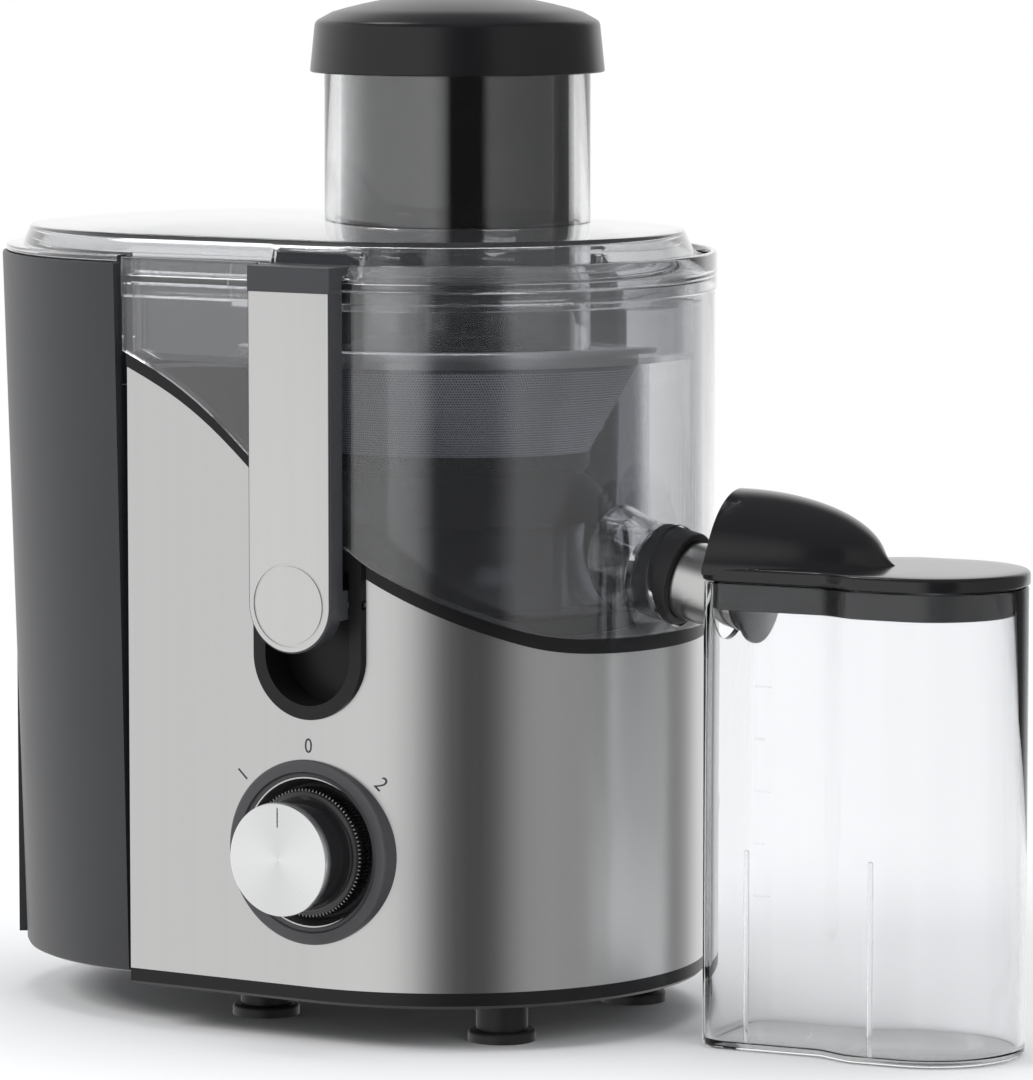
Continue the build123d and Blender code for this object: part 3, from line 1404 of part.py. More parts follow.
with BuildPart() as lid:
    with BuildSketch(level(lid_bottom)):
        add(slot_face(lid_foot_radius, lid_left))
    extrude(amount=lid_foot_top - lid_bottom)
    with BuildSketch(level(lid_foot_top)):
        add(slot_face(lid_foot_radius - lid_step, lid_left))
    with BuildSketch(level(lid_top)):
        add(slot_face(lid_plate_radius, lid_left))
    loft()
    # shallow crown
    with BuildSketch(upright()):
        add(crown_half(lid_plate_radius, lid_top))
    revolve(axis=spin)
    with BuildSketch(upright(lid_left)):
        add(crown_half(lid_plate_radius, lid_top))
    revolve(axis=lid_end)
    with BuildSketch(lid_cross):
        add(crown_section(lid_plate_radius, lid_top))
    extrude(amount=-lid_left)
    # rim over the bin's mouth
    with BuildSketch(level(bin_top + move_gap)):
        add(slot_face(lid_flange_radius, lid_left))
        with Locations((bin_right + base_radius, 0)):
            Rectangle(2 * base_radius, 4 * base_radius, mode=Mode.SUBTRACT)
    extrude(amount=lid_flange_thickness)
    # hollow underside
    with BuildSketch(level(lid_bottom)):
        add(slot_face(lid_foot_radius - lid_spigot_wall, lid_left))
    with BuildSketch(level(lid_top - lid_wall)):
        add(slot_face(lid_plate_radius - lid_wall, lid_left))
    loft(mode=Mode.SUBTRACT)
    with BuildSketch(upright()):
        add(crown_half(lid_plate_radius - lid_wall, lid_top - lid_wall))
    revolve(axis=spin, mode=Mode.SUBTRACT)
    with BuildSketch(upright(lid_left)):
        add(crown_half(lid_plate_radius - lid_wall, lid_top - lid_wall))
    revolve(axis=lid_end, mode=Mode.SUBTRACT)
    with BuildSketch(lid_cross):
        add(crown_section(lid_plate_radius - lid_wall, lid_top - lid_wall))
    extrude(amount=-lid_left, mode=Mode.SUBTRACT)
    # the foot stops short of the bin
    with BuildSketch(level(lid_bottom)):
        with Locations((base_left - all_round / 2, 0)):
            Rectangle(all_round, all_round)
    extrude(amount=bin_top + move_gap - lid_bottom, mode=Mode.SUBTRACT)
    # skirt inside the bowl's tray, away from the bin
    with BuildSketch(level(lid_skirt_bottom)):
        Circle(tray_radius - bowl_wall - move_gap)
        Circle(tray_radius - bowl_wall - move_gap - lid_skirt_wall, mode=Mode.SUBTRACT)
        with Locations((lid_skirt_left - base_radius, 0)):
            Rectangle(2 * base_radius, 4 * base_radius, mode=Mode.SUBTRACT)
    extrude(amount=lid_bottom + lid_skirt_overlap - lid_skirt_bottom)
    # raised lugs behind the latch hooks, with a low ledge under each hook
    for side in (-1, 1):
        with BuildSketch(flank(side, lug_face)):
            with Locations((0, (lid_bottom + lug_top) / 2)):
                Rectangle(2 * lug_half_width, lug_top - lid_bottom)
        extrude(amount=-lug_depth)
        with BuildSketch(flank(side, lug_face)):
            with Locations((0, (ledge_top + lug_top) / 2)):
                Rectangle(2 * lug_half_width, lug_top - ledge_top)
        extrude(amount=lid_foot_radius - lug_face + cut_past, mode=Mode.SUBTRACT)
    with BuildSketch(level(lid_bottom, feed_x)):
        Circle(feed_radius)
    extrude(amount=feed_top - lid_bottom, mode=Mode.SUBTRACT)
lid.part.label = "lid"
export_step(lid.part, "parts/lid.step")

with BuildPart() as feed_tube:
    with BuildSketch(level(feed_bottom, feed_x)):
        Circle(feed_radius)
        Circle(feed_radius - feed_wall, mode=Mode.SUBTRACT)
    extrude(amount=feed_top - feed_bottom)
feed_tube.part.label = "feed_tube"
export_step(feed_tube.part, "parts/feed_tube.step")

pusher_radius = feed_radius - feed_wall - pusher_gap

with BuildPart() as pusher_body:
    with BuildSketch(level(pusher_bottom, feed_x)):
        Circle(pusher_radius)
    extrude(amount=pusher_seat - pusher_bottom)
    fillet(pusher_body.edges().group_by(Axis.Z)[0], pusher_fillet)
    with BuildSketch(level(pusher_bottom + pusher_wall, feed_x)):
        Circle(pusher_radius - pusher_wall)
    extrude(amount=pusher_seat - pusher_bottom, mode=Mode.SUBTRACT)
pusher_body.part.label = "pusher_body"
export_step(pusher_body.part, "parts/pusher_body.step")

with BuildPart() as pusher_cap:
    with BuildSketch(upright(feed_x)):
        with BuildLine():
            Polyline(
                (0, pusher_seat),
                (cap_radius - cap_wall, pusher_seat),
                (cap_radius - cap_wall, cap_bottom),
                (cap_radius, cap_bottom),
                (cap_shoulder_radius, cap_shoulder_height),
            )
            crown_edge = (cap_shoulder_radius - cap_edge, cap_shoulder_height + cap_edge_rise)
            RadiusArc((cap_shoulder_radius, cap_shoulder_height), crown_edge, -cap_edge)
            Spline(crown_edge, (0, cap_top), tangents=((-1, cap_crown_slope), (-1, 0)))
            Line((0, cap_top), (0, pusher_seat))
        make_face()
    revolve(axis=feed_axis)
pusher_cap.part.label = "pusher_cap"
export_step(pusher_cap.part, "parts/pusher_cap.step")

# ---------------------------------------------------------------------------
# Pulp bin
# ---------------------------------------------------------------------------

with BuildPart() as pulp_bin:
    with BuildSketch(level(bin_bottom)):
        add(bin_face(bin_bottom_radius, bin_right))
    with BuildSketch(level(bin_top)):
        add(bin_face(bin_radius, bin_right))
    loft()
    with BuildSketch(level(bin_bottom + bin_wall)):
        add(bin_face(bin_bottom_radius - bin_wall, bin_right - bin_wall))
    with BuildSketch(level(bin_top)):
        add(bin_face(bin_radius - bin_wall, bin_right - bin_wall))
    loft(mode=Mode.SUBTRACT)
    with BuildSketch(level(bin_low_wall)):
        with Locations((bin_right, 0)):
            Rectangle(4 * bin_wall, 2 * bin_mouth_half_width)
    extrude(amount=bin_top - bin_low_wall, mode=Mode.SUBTRACT)
pulp_bin.part.label = "pulp_bin"
export_step(pulp_bin.part, "parts/pulp_bin.step")

with BuildPart() as bin_grip:
    with BuildSketch(level(grip_bottom)):
        with Locations((bin_right, 0)):
            add(ring_sector(grip_radius - grip_depth, grip_radius, opposite_ways[1], grip_half_angle))
    extrude(amount=grip_top - grip_bottom)
    with BuildSketch(level(bin_bottom)):
        add(bin_face(bin_bottom_radius, bin_right))
    with BuildSketch(level(bin_top)):
        add(bin_face(bin_radius, bin_right))
    loft(mode=Mode.SUBTRACT)
bin_grip.part.label = "bin_grip"
export_step(bin_grip.part, "parts/bin_grip.step")

# ---------------------------------------------------------------------------
# Juice jug and its lid
# ---------------------------------------------------------------------------

with BuildPart() as jug:
    with BuildSketch(jug_level(0)):
        add(jug_face(0))
    extrude(amount=jug_height)
    fillet(jug.edges().group_by(Axis.Z)[0], jug_fillet)
    with BuildSketch(jug_level(jug_wall)):
        add(jug_face(jug_wall))
    extrude(amount=jug_height, mode=Mode.SUBTRACT)
    with BuildSketch(jug_cross(jug_left - cut_past)):
        with Locations((0, jug_notch_height)):
            Circle(jug_notch_radius)
        with Locations((0, (jug_notch_height + jug_height + cut_past) / 2)):
            Rectangle(2 * jug_notch_radius, jug_height + cut_past - jug_notch_height)
    extrude(amount=jug_corner, mode=Mode.SUBTRACT)
    # thin upright ribs inside the front wall
    rib_width, rib_depth = jug_rib_size
    with BuildSketch(jug_level(jug_wall)):
        for rib_x, rib_y in jug_rib_places:
            with Locations((rib_x, rib_depth / 2 - rib_y)):
                Rectangle(rib_width, rib_depth)
    extrude(amount=jug_rib_height - jug_wall)
jug.part.label = "jug"
export_step(jug.part, "parts/jug.step")

lid_plate_bottom = jug_height + move_gap
lid_plate_top = lid_plate_bottom + jug_lid_thickness

hood_axis_height = lid_plate_top - hood_sink
hood_axis = Axis(jug_upright(hood_axis_height).origin, jug_upright(0).x_dir)


def hood_face(start, length, radius):
    """Straight from start to the hood's mouth, then a quarter of an ellipse; revolved, it makes the hood."""
    with BuildSketch() as profile:
        with BuildLine():
            nose = EllipticalCenterArc((hood_left, 0), length, radius, start_angle=0, arc_size=quarter_turn)
            Polyline(nose @ 1, (start, radius), (start, 0), nose @ 0)
        make_face()
    return profile.sketch


with BuildPart() as jug_lid:
    with BuildSketch(jug_level(lid_plate_bottom)):
        add(jug_face(-jug_lid_overhang))
    extrude(amount=jug_lid_thickness)
    fillet(jug_lid.edges().group_by(Axis.Z)[-1], jug_lid_fillet)
    # hood over the spout, its mouth leaning back over the dipping tube
    with BuildSketch(jug_upright(hood_axis_height)):
        add(hood_face(hood_left - cut_past, hood_length, hood_radius))
    revolve(axis=hood_axis)
    with BuildSketch(jug_level(lid_plate_bottom)):
        add(jug_face(-jug_lid_overhang - cut_past))
    extrude(amount=-2 * hood_radius, mode=Mode.SUBTRACT)
    with BuildSketch(jug_upright(hood_axis_height)):
        lean = 2 * hood_radius * tan(radians(hood_lean))
        Polygon(
            (hood_left, 0),
            (hood_left + lean, 2 * hood_radius),
            (hood_left - lean, 2 * hood_radius),
            (hood_left - lean, 0),
            align=None,
        )
    extrude(amount=2 * hood_radius, both=True, mode=Mode.SUBTRACT)
    # skirt inside the jug's mouth
    with BuildSketch(jug_level(lid_plate_bottom - jug_skirt_depth)):
        add(jug_face(jug_wall + move_gap))
        add(jug_face(jug_wall + move_gap + jug_skirt_wall), mode=Mode.SUBTRACT)
    extrude(amount=jug_skirt_depth)
    # hollow of the hood, open through the plate and towards the spout
    with BuildSketch(jug_upright(hood_axis_height)):
        add(hood_face(jug_left - 2 * hood_wall, hood_length - 2 * hood_wall, hood_radius - hood_wall))
    revolve(axis=hood_axis, mode=Mode.SUBTRACT)
    # baffle that turns the juice down into the jug
    baffle_centre = baffle_bottom + baffle_half_width
    baffle_limit = hood_radius - hood_wall / 2
    with BuildSketch(jug_cross(baffle_x)):
        with Locations((0, hood_axis_height)):
            Circle(baffle_limit)
        with Locations((0, (baffle_centre + hood_axis_height + baffle_limit) / 2)):
            Rectangle(
                2 * baffle_half_width,
                hood_axis_height + baffle_limit - baffle_centre,
                mode=Mode.INTERSECT,
            )
        with Locations((0, baffle_centre)):
            Circle(baffle_half_width)
    extrude(amount=baffle_thickness)
jug_lid.part.label = "jug_lid"
export_step(jug_lid.part, "parts/jug_lid.step")
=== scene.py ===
import json
import math

import bmesh
import bpy
from mathutils import Matrix, Vector


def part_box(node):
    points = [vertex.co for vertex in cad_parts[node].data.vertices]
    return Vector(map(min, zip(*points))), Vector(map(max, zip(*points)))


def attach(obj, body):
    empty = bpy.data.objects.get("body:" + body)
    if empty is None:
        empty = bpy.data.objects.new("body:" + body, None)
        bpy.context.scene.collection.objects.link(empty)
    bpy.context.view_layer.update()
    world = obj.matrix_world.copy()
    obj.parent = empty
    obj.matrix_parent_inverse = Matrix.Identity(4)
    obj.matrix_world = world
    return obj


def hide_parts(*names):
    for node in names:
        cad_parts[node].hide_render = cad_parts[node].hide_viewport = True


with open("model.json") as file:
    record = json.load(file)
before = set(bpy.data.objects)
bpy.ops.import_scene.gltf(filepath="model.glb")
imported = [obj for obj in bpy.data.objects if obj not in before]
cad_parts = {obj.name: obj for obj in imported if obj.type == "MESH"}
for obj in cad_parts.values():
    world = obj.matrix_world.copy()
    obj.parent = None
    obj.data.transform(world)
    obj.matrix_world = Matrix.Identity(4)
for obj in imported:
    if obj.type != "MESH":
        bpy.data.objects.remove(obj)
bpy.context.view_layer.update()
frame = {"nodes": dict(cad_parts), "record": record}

bl_info = {
    "name": "Centrifugal Juicer",
    "version": (1, 0, 0),
    "blender": (4, 5, 0),
    "location": "View3D > Sidebar > Juicer",
    "description": "Builds the pieces and finishes of a centrifugal juicer",
    "category": "Add Mesh",
}

SIEVE_LOW, SIEVE_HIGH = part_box("sieve_cone")
AXIS = (SIEVE_LOW + SIEVE_HIGH) / 2
AXIS.z = 0
MM = 0.001
FULL_TURN = 2 * math.pi
# The spout's seal ring from the bowl axis and the floor, in mm, and the spout's fall
SPOUT_X, SPOUT_HEIGHT, SPOUT_DIP = 80.0, 142.7, math.radians(12)
SPOUT_BORE = 10.8
JUG_TURN = math.radians(6)


# --- Sizes and colours ---


def length(name, text, default):
    return bpy.props.FloatProperty(name=name, description=text, default=default, subtype="DISTANCE", unit="LENGTH")


def colour(name, text, default):
    return bpy.props.FloatVectorProperty(
        name=name, description=text, default=default, subtype="COLOR", min=0, max=1, size=3
    )


def angle(name, text, degrees):
    return bpy.props.FloatProperty(name=name, description=text, default=math.radians(degrees), subtype="ANGLE")


class JuicerStage(bpy.types.PropertyGroup):
    azimuth: angle("Azimuth", "Camera's turn from the front towards the jug", 31.3)
    pitch: angle("Pitch", "Camera's tilt below the horizon", 6.15)
    distance: length("Distance", "From the bowl axis to the camera, along the floor", 2.0)
    height: length("Height", "Height of the camera above the floor", 0.364)
    sideways: length("Sideways", "Shift of the camera to its right", 0.0213)
    lens: bpy.props.FloatProperty(name="Lens", description="Focal length", default=213.3, subtype="DISTANCE_CAMERA")
    floor: colour("Floor", "Colour of the floor", (0.80, 0.80, 0.80))


class JuicerColours(bpy.types.PropertyGroup):
    steel: colour("Steel", "Front panel", (0.66, 0.66, 0.655))
    aluminium: colour("Aluminium", "Latch plates and knob cap", (0.74, 0.737, 0.732))
    dark: colour("Dark plastic", "Pulp bin", (0.027, 0.028, 0.031))
    black: colour("Black plastic", "Trims, pockets and covers", (0.009, 0.009, 0.010))
    gloss: colour("Gloss black", "Jug lid", (0.010, 0.010, 0.011))
    smoke: colour("Smoke", "Tint of the clear lid and bowl", (0.905, 0.912, 0.925))
    tube: colour("Feed tube", "Tint of the clear feed tube", (0.94, 0.945, 0.95))
    chamber: colour("Chamber", "Tint of the juice chamber", (0.50, 0.51, 0.545))
    clear: colour("Clear", "Tint of the jug", (0.955, 0.96, 0.966))


class JuicerSizes(bpy.types.PropertyGroup):
    knob_teeth: bpy.props.IntProperty(name="Knob teeth", description="Serrations round the knob", default=96, min=24)
    jug_marks: bpy.props.IntProperty(name="Jug marks", description="Plain measuring marks on the jug", default=5, min=0)


# --- Node helpers ---


class Graph:
    """A node tree with short calls for its nodes and links."""

    def __init__(self, tree):
        self.tree = tree
        tree.nodes.clear()

    def feed(self, node, inputs):
        """Links or sets a node's inputs, by name or number."""
        for key, value in inputs.items():
            socket = node.inputs[key]
            if isinstance(value, bpy.types.NodeSocket):
                self.tree.links.new(value, socket)
            else:
                socket.default_value = value

    def add(self, kind, inputs=None, **settings):
        node = self.tree.nodes.new(kind)
        for key, value in settings.items():
            setattr(node, key, value)
        self.feed(node, inputs or {})
        return node

    def math(self, operation, a, b=0.0, c=0.0):
        return self.add("ShaderNodeMath", {0: a, 1: b, 2: c}, operation=operation).outputs[0]

    def vector(self, operation, a, b=(0.0, 0.0, 0.0), output="Vector"):
        return self.add("ShaderNodeVectorMath", {0: a, 1: b}, operation=operation).outputs[output]

    def place(self, kind="Object"):
        return self.add("ShaderNodeTexCoord").outputs[kind]

    def noise(self, place, scale, detail):
        return self.add("ShaderNodeTexNoise", {"Vector": place, "Scale": scale, "Detail": detail}).outputs["Fac"]

    def ramp(self, factor, stops):
        """A tone for each place between 0 and 1."""
        node = self.add("ShaderNodeValToRGB", {"Fac": factor})
        points = node.color_ramp.elements
        while len(points) < len(stops):
            points.new(0.5)
        for point, (place, tone) in zip(points, stops):
            point.position = place
            point.color = (tone, tone, tone, 1)
        return node.outputs["Color"]

    def between(self, value, given, wanted=(0.0, 1.0), **settings):
        """A value taken from one range to another."""
        limits = {"From Min": given[0], "From Max": given[1], "To Min": wanted[0], "To Max": wanted[1]}
        return self.add("ShaderNodeMapRange", {"Value": value, **limits}, **settings).outputs["Result"]

    def spread(self, value, low, high):
        """A noise value around one half, spread between low and high."""
        return self.between(value, (0.25, 0.75), (low, high))

    def blend(self, factor, a, b):
        return self.add("ShaderNodeMix", {0: factor, 6: a, 7: b}, data_type="RGBA").outputs[2]

    def mix(self, factor, a, b):
        """Two shaders mixed."""
        return self.add("ShaderNodeMixShader", {0: factor, 1: a.outputs[0], 2: b.outputs[0]})


def node_group(name, inputs, outputs):
    """A new shader node group with float or vector inputs and float outputs."""
    tree = bpy.data.node_groups.new(name, "ShaderNodeTree")
    for label, default in inputs.items():
        kind = "NodeSocketVector" if isinstance(default, tuple) else "NodeSocketFloat"
        tree.interface.new_socket(label, in_out="INPUT", socket_type=kind).default_value = default
    for label in outputs:
        tree.interface.new_socket(label, in_out="OUTPUT", socket_type="NodeSocketFloat")
    graph = Graph(tree)
    return graph, graph.add("NodeGroupInput").outputs, graph.add("NodeGroupOutput")


def build_moulded_group():
    """Fine moulded grain with slow variation, as on satin plastic."""
    graph, given, result = node_group("Moulded Grain", {"Scale": 1600.0, "Mottle Scale": 14.0}, ("Grain", "Mottle"))
    place = graph.place()
    graph.feed(result, {"Grain": graph.noise(place, given["Scale"], 2.0),
                        "Mottle": graph.noise(place, given["Mottle Scale"], 4.0)})


def build_brushed_group():
    """Long fine streaks along one direction, as on brushed metal."""
    graph, given, result = node_group("Brushed Streaks", {"Stretch": (900.0, 900.0, 9.0)}, ("Streaks", "Tone"))
    fine = graph.vector("MULTIPLY", graph.place(), given["Stretch"])
    slow = graph.vector("MULTIPLY", fine, (0.12,) * 3)
    graph.feed(result, {"Streaks": graph.noise(fine, 1.0, 3.0), "Tone": graph.noise(slow, 1.0, 2.0)})


def build_rings_group():
    """Fine turned rings about an axis, as on a spun cap, and a painted fan-shaped highlight that goes lighter and
    darker twice round the axis.
    """
    inputs = {"Centre": (0.0, 0.0, 0.0), "Across": (1.0, 0.0, 1.0), "Pitch": 3500.0}
    graph, given, result = node_group("Turned Rings", inputs, ("Rings", "Painted Sheen"))
    flat = graph.vector("MULTIPLY", graph.vector("SUBTRACT", graph.place(), given["Centre"]), given["Across"])
    radius = graph.vector("LENGTH", flat, output="Value")
    rings = graph.add("ShaderNodeTexNoise", noise_dimensions="1D")
    graph.feed(rings, {"W": graph.math("MULTIPLY", radius, given["Pitch"]), "Scale": 1.0, "Detail": 2.0})
    # Painted highlight: a tone that rises and falls twice round the axis, standing in for the fan of light on spun
    # metal.
    parts = graph.add("ShaderNodeSeparateXYZ", {0: flat}).outputs
    turn = graph.math("ARCTAN2", parts["Z"], parts["X"])
    painted_sheen = graph.math("MULTIPLY_ADD", graph.math("COSINE", graph.math("MULTIPLY", turn, 2.0)), 0.5, 0.5)
    graph.feed(result, {"Rings": rings.outputs["Fac"], "Painted Sheen": painted_sheen})


def build_perforation_group():
    """Staggered round holes on a cone about the bowl axis: 1 in a hole, 0 between them."""
    inputs = {"Centre": (0.0, 0.0, 0.0), "Columns": 420.0, "Row Pitch": 0.0008, "Hole Share": 0.27}
    graph, given, result = node_group("Fine Perforation", inputs, ("Holes",))
    local = graph.vector("SUBTRACT", graph.place(), given["Centre"])
    parts = graph.add("ShaderNodeSeparateXYZ", {0: local}).outputs
    turn = graph.math("ARCTAN2", parts["Y"], parts["X"])
    column = graph.math("MULTIPLY", graph.math("DIVIDE", turn, FULL_TURN), given["Columns"])
    row = graph.math("DIVIDE", parts["Z"], given["Row Pitch"])
    odd = graph.math("FLOORED_MODULO", graph.math("FLOOR", row), 2.0)
    across = graph.math("SUBTRACT", graph.math("FRACT", graph.math("MULTIPLY_ADD", odd, 0.5, column)), 0.5)
    up = graph.math("SUBTRACT", graph.math("FRACT", row), 0.5)
    reach = graph.math("SQRT", graph.math("ADD", graph.math("POWER", across, 2.0), graph.math("POWER", up, 2.0)))
    graph.feed(result, {"Holes": graph.math("LESS_THAN", reach, given["Hole Share"])})


BUILDERS = {
    "Moulded Grain": build_moulded_group,
    "Brushed Streaks": build_brushed_group,
    "Turned Rings": build_rings_group,
    "Fine Perforation": build_perforation_group,
}


def use_group(graph, name, **inputs):
    """Places a shared node group, which is built the first time, with its own values."""
    if name not in bpy.data.node_groups:
        BUILDERS[name]()
    node = graph.add("ShaderNodeGroup", node_tree=bpy.data.node_groups[name])
    graph.feed(node, {key.replace("_", " "): value for key, value in inputs.items()})
    return node.outputs


# --- Finishes ---


def start_material(name):
    """An empty material, its graph, its surface shader and its output."""
    material = bpy.data.materials.new(name)
    material.use_nodes = True
    graph = Graph(material.node_tree)
    shader = graph.add("ShaderNodeBsdfPrincipled")
    return material, graph, shader, graph.add("ShaderNodeOutputMaterial", {"Surface": shader.outputs[0]})


def bump(graph, shader, height, strength, distance):
    node = graph.add("ShaderNodeBump", {"Height": height, "Strength": strength, "Distance": distance})
    graph.feed(shader, {"Normal": node.outputs[0]})


def shifted(tone, share):
    """A tone made darker or lighter by a share of itself."""
    return (*(min(1, c * (1 + share)) for c in tone), 1)


def plastic(name, tone, roughness=0.42, grain=0.12, grain_scale=1600.0, specular=0.5, coat=0.0, variation=0.10):
    """Moulded plastic or rubber with a fine grain and a slow change of tone."""
    material, graph, shader, _ = start_material(name)
    moulded = use_group(graph, "Moulded Grain", Scale=grain_scale)
    mottle = graph.spread(moulded["Mottle"], 0, 1)
    graph.feed(shader, {
        "Base Color": graph.blend(mottle, shifted(tone, -variation), shifted(tone, variation)),
        "Roughness": graph.spread(moulded["Mottle"], roughness * 0.92, roughness * 1.08),
        "Specular IOR Level": specular, "Coat Weight": coat, "Coat Roughness": 0.05,
    })
    bump(graph, shader, moulded["Grain"], grain, 0.00006)
    return material


def brushed(name, tone, roughness=0.30, stretch=(900.0, 900.0, 9.0), depth=0.12, variation=0.04):
    """Brushed or drawn metal with long fine streaks."""
    material, graph, shader, _ = start_material(name)
    streaks = use_group(graph, "Brushed Streaks", Stretch=stretch)
    slow = graph.spread(streaks["Tone"], 0, 1)
    graph.feed(shader, {
        "Base Color": graph.blend(slow, shifted(tone, -variation), shifted(tone, variation)),
        "Roughness": graph.spread(streaks["Streaks"], roughness * 0.95, roughness * 1.05), "Metallic": 1.0,
    })
    bump(graph, shader, streaks["Streaks"], depth, 0.00003)
    return material


def turned(name, tone, centre, across=(1.0, 0.0, 1.0), roughness=0.24, depth=0.25, pitch=3500.0):
    """Metal turned on a lathe, with fine rings about its own axis and a painted fan-shaped highlight in its colour."""
    material, graph, shader, _ = start_material(name)
    rings = use_group(graph, "Turned Rings", Centre=centre, Across=across, Pitch=pitch)
    graph.feed(shader, {
        # The base colour goes lighter and darker round the axis: a painted fan-shaped highlight.
        "Base Color": graph.blend(rings["Painted Sheen"], shifted(tone, -0.07), shifted(tone, 0.05)),
        "Roughness": graph.spread(rings["Rings"], roughness * 0.8, roughness * 1.2), "Metallic": 1.0,
    })
    bump(graph, shader, rings["Rings"], depth, 0.00002)
    return material


def clear(name, tone, roughness=0.02, ior=1.45, haze=0.04, alpha_shadow=0.75, milk=0.0, gloss=1.0):
    """Clear moulded plastic, milky or glossier if asked, that lets light through in its shadow."""
    material, graph, shader, output = start_material(name)
    mottle = use_group(graph, "Moulded Grain", Scale=900.0, Mottle_Scale=9.0)["Mottle"]
    graph.feed(shader, {
        "Base Color": graph.blend(graph.spread(mottle, 0, 1), shifted(tone, -haze), (*tone, 1)),
        "Roughness": graph.spread(mottle, roughness * 0.6, roughness * 1.4),
        "Transmission Weight": 1.0, "IOR": ior,
        "Coat Weight": 1.0 if gloss > 1 else 0.0, "Coat IOR": gloss,
    })
    bump(graph, shader, mottle, 0.02, 0.0004)
    cloud = graph.add("ShaderNodeBsdfDiffuse", {"Color": (0.72, 0.73, 0.75, 1)})
    passing = graph.add("ShaderNodeBsdfTransparent", {"Color": (*(c * alpha_shadow for c in tone), 1)})
    path = graph.add("ShaderNodeLightPath").outputs
    soft = graph.math("MAXIMUM", path["Is Shadow Ray"], path["Is Diffuse Ray"])
    graph.feed(output, {"Surface": graph.mix(soft, graph.mix(milk, shader, cloud), passing).outputs[0]})
    return material


def perforated(name, tone, centre):
    """Thin steel with staggered fine holes, painted near black for the shade seen through them."""
    material, graph, shader, _ = start_material(name)
    holes = use_group(graph, "Fine Perforation", Centre=centre)["Holes"]
    streaks = use_group(graph, "Brushed Streaks", Stretch=(60.0, 60.0, 900.0))
    metal = graph.blend(graph.spread(streaks["Tone"], 0, 1), shifted(tone, -0.1), (*tone, 1))
    graph.feed(shader, {
        # Painted shade: the holes are not cut, so they take a near-black colour for the dark seen through them.
        "Base Color": graph.blend(holes, metal, (0.03, 0.03, 0.033, 1)),
        "Metallic": graph.math("MULTIPLY_ADD", holes, -0.55, 0.55),
        "Roughness": graph.math("MULTIPLY_ADD", holes, 0.35, 0.36),
    })
    bump(graph, shader, graph.math("SUBTRACT", 1.0, holes), 0.5, 0.0002)
    return material


FINISHES = {}


# --- Mesh helpers ---


def at(x, y, z):
    """A point in mm from the bowl axis, in the frame's metres."""
    return Vector((AXIS.x + x * MM, AXIS.y + y * MM, z * MM))


def rounded(corners, steps=4):
    """A closed outline of (x, y, radius) corners, with each corner rounded."""
    points = []
    count = len(corners)
    for i, (x, y, radius) in enumerate(corners):
        here = Vector((x, y))
        before = Vector(corners[i - 1][:2]) - here
        after = Vector(corners[(i + 1) % count][:2]) - here
        if radius <= 0 or before.length < 1e-6 or after.length < 1e-6:
            points.append((x, y))
            continue
        half = before.angle(after) / 2
        if abs(half - math.pi / 2) < 1e-3:
            points.append((x, y))
            continue
        reach = min(radius / math.tan(half), before.length * 0.49, after.length * 0.49)
        start, end = here + before.normalized() * reach, here + after.normalized() * reach
        for k in range(steps + 1):
            t = k / steps
            first = start.lerp(here, t)
            second = here.lerp(end, t)
            points.append(tuple(first.lerp(second, t)))
    return points


def arc(radius, start, end, steps, x=0.0, y=0.0):
    """Points along an arc about (x, y), from one angle to another, both ends included."""
    turns = [start + (end - start) * k / steps for k in range(steps + 1)]
    return [(x + radius * math.cos(turn), y + radius * math.sin(turn)) for turn in turns]


def shell_mesh(rings, closed=True, caps=False):
    """Vertices and faces of rings of equal length, joined in order."""
    count = len(rings[0])
    points = [point for ring in rings for point in ring]
    faces = []
    spans = len(rings) if closed else len(rings) - 1
    for i in range(spans):
        a, b = i * count, ((i + 1) % len(rings)) * count
        for k in range(count):
            n = (k + 1) % count
            faces.append((a + k, a + n, b + n, b + k))
    if caps:
        faces.append(tuple(range(count))[::-1])
        faces.append(tuple((len(rings) - 1) * count + k for k in range(count)))
    return points, faces


def make(name, points, faces, material, smooth=30, place=None):
    """A piece from points in mm in the bowl's frame, cleaned, with its faces outwards."""
    mesh = bpy.data.meshes.new(name)
    mesh.from_pydata([place(p) if place else at(*p) for p in points], [], faces)
    clean(mesh, smooth)
    mesh.materials.append(FINISHES[material])
    return linked(name, mesh)


def linked(name, data):
    """A new object of that data, in the scene."""
    thing = bpy.data.objects.new(name, data)
    bpy.context.scene.collection.objects.link(thing)
    return thing


def clean(mesh, smooth):
    """Merges doubles, drops empty faces, points the faces outwards and sets the shading."""
    shape = bmesh.new()
    shape.from_mesh(mesh)
    bmesh.ops.remove_doubles(shape, verts=shape.verts, dist=1e-6)
    bmesh.ops.dissolve_degenerate(shape, dist=1e-7, edges=shape.edges)
    bmesh.ops.recalc_face_normals(shape, faces=shape.faces)
    shape.to_mesh(mesh)
    shape.free()
    shade(mesh, smooth)


def shade(mesh, smooth):
    mesh.shade_smooth()
    mesh.set_sharp_from_angle(angle=math.radians(smooth))


def settle(piece, smooth=None):
    """Turns the piece's modifiers into plain mesh."""
    bpy.context.view_layer.update()
    graph = bpy.context.evaluated_depsgraph_get()
    mesh = bpy.data.meshes.new_from_object(piece.evaluated_get(graph))
    piece.modifiers.clear()
    piece.data = mesh
    if smooth is not None:
        clean(mesh, smooth)
    return piece


def fit(piece, body, slot_name, *nodes, smooth=None):
    """The piece rides on its body and stands for the nodes; the slot is not used."""
    if smooth:
        clean(piece.data, smooth)
    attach(piece, body)
    if nodes:
        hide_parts(*nodes)


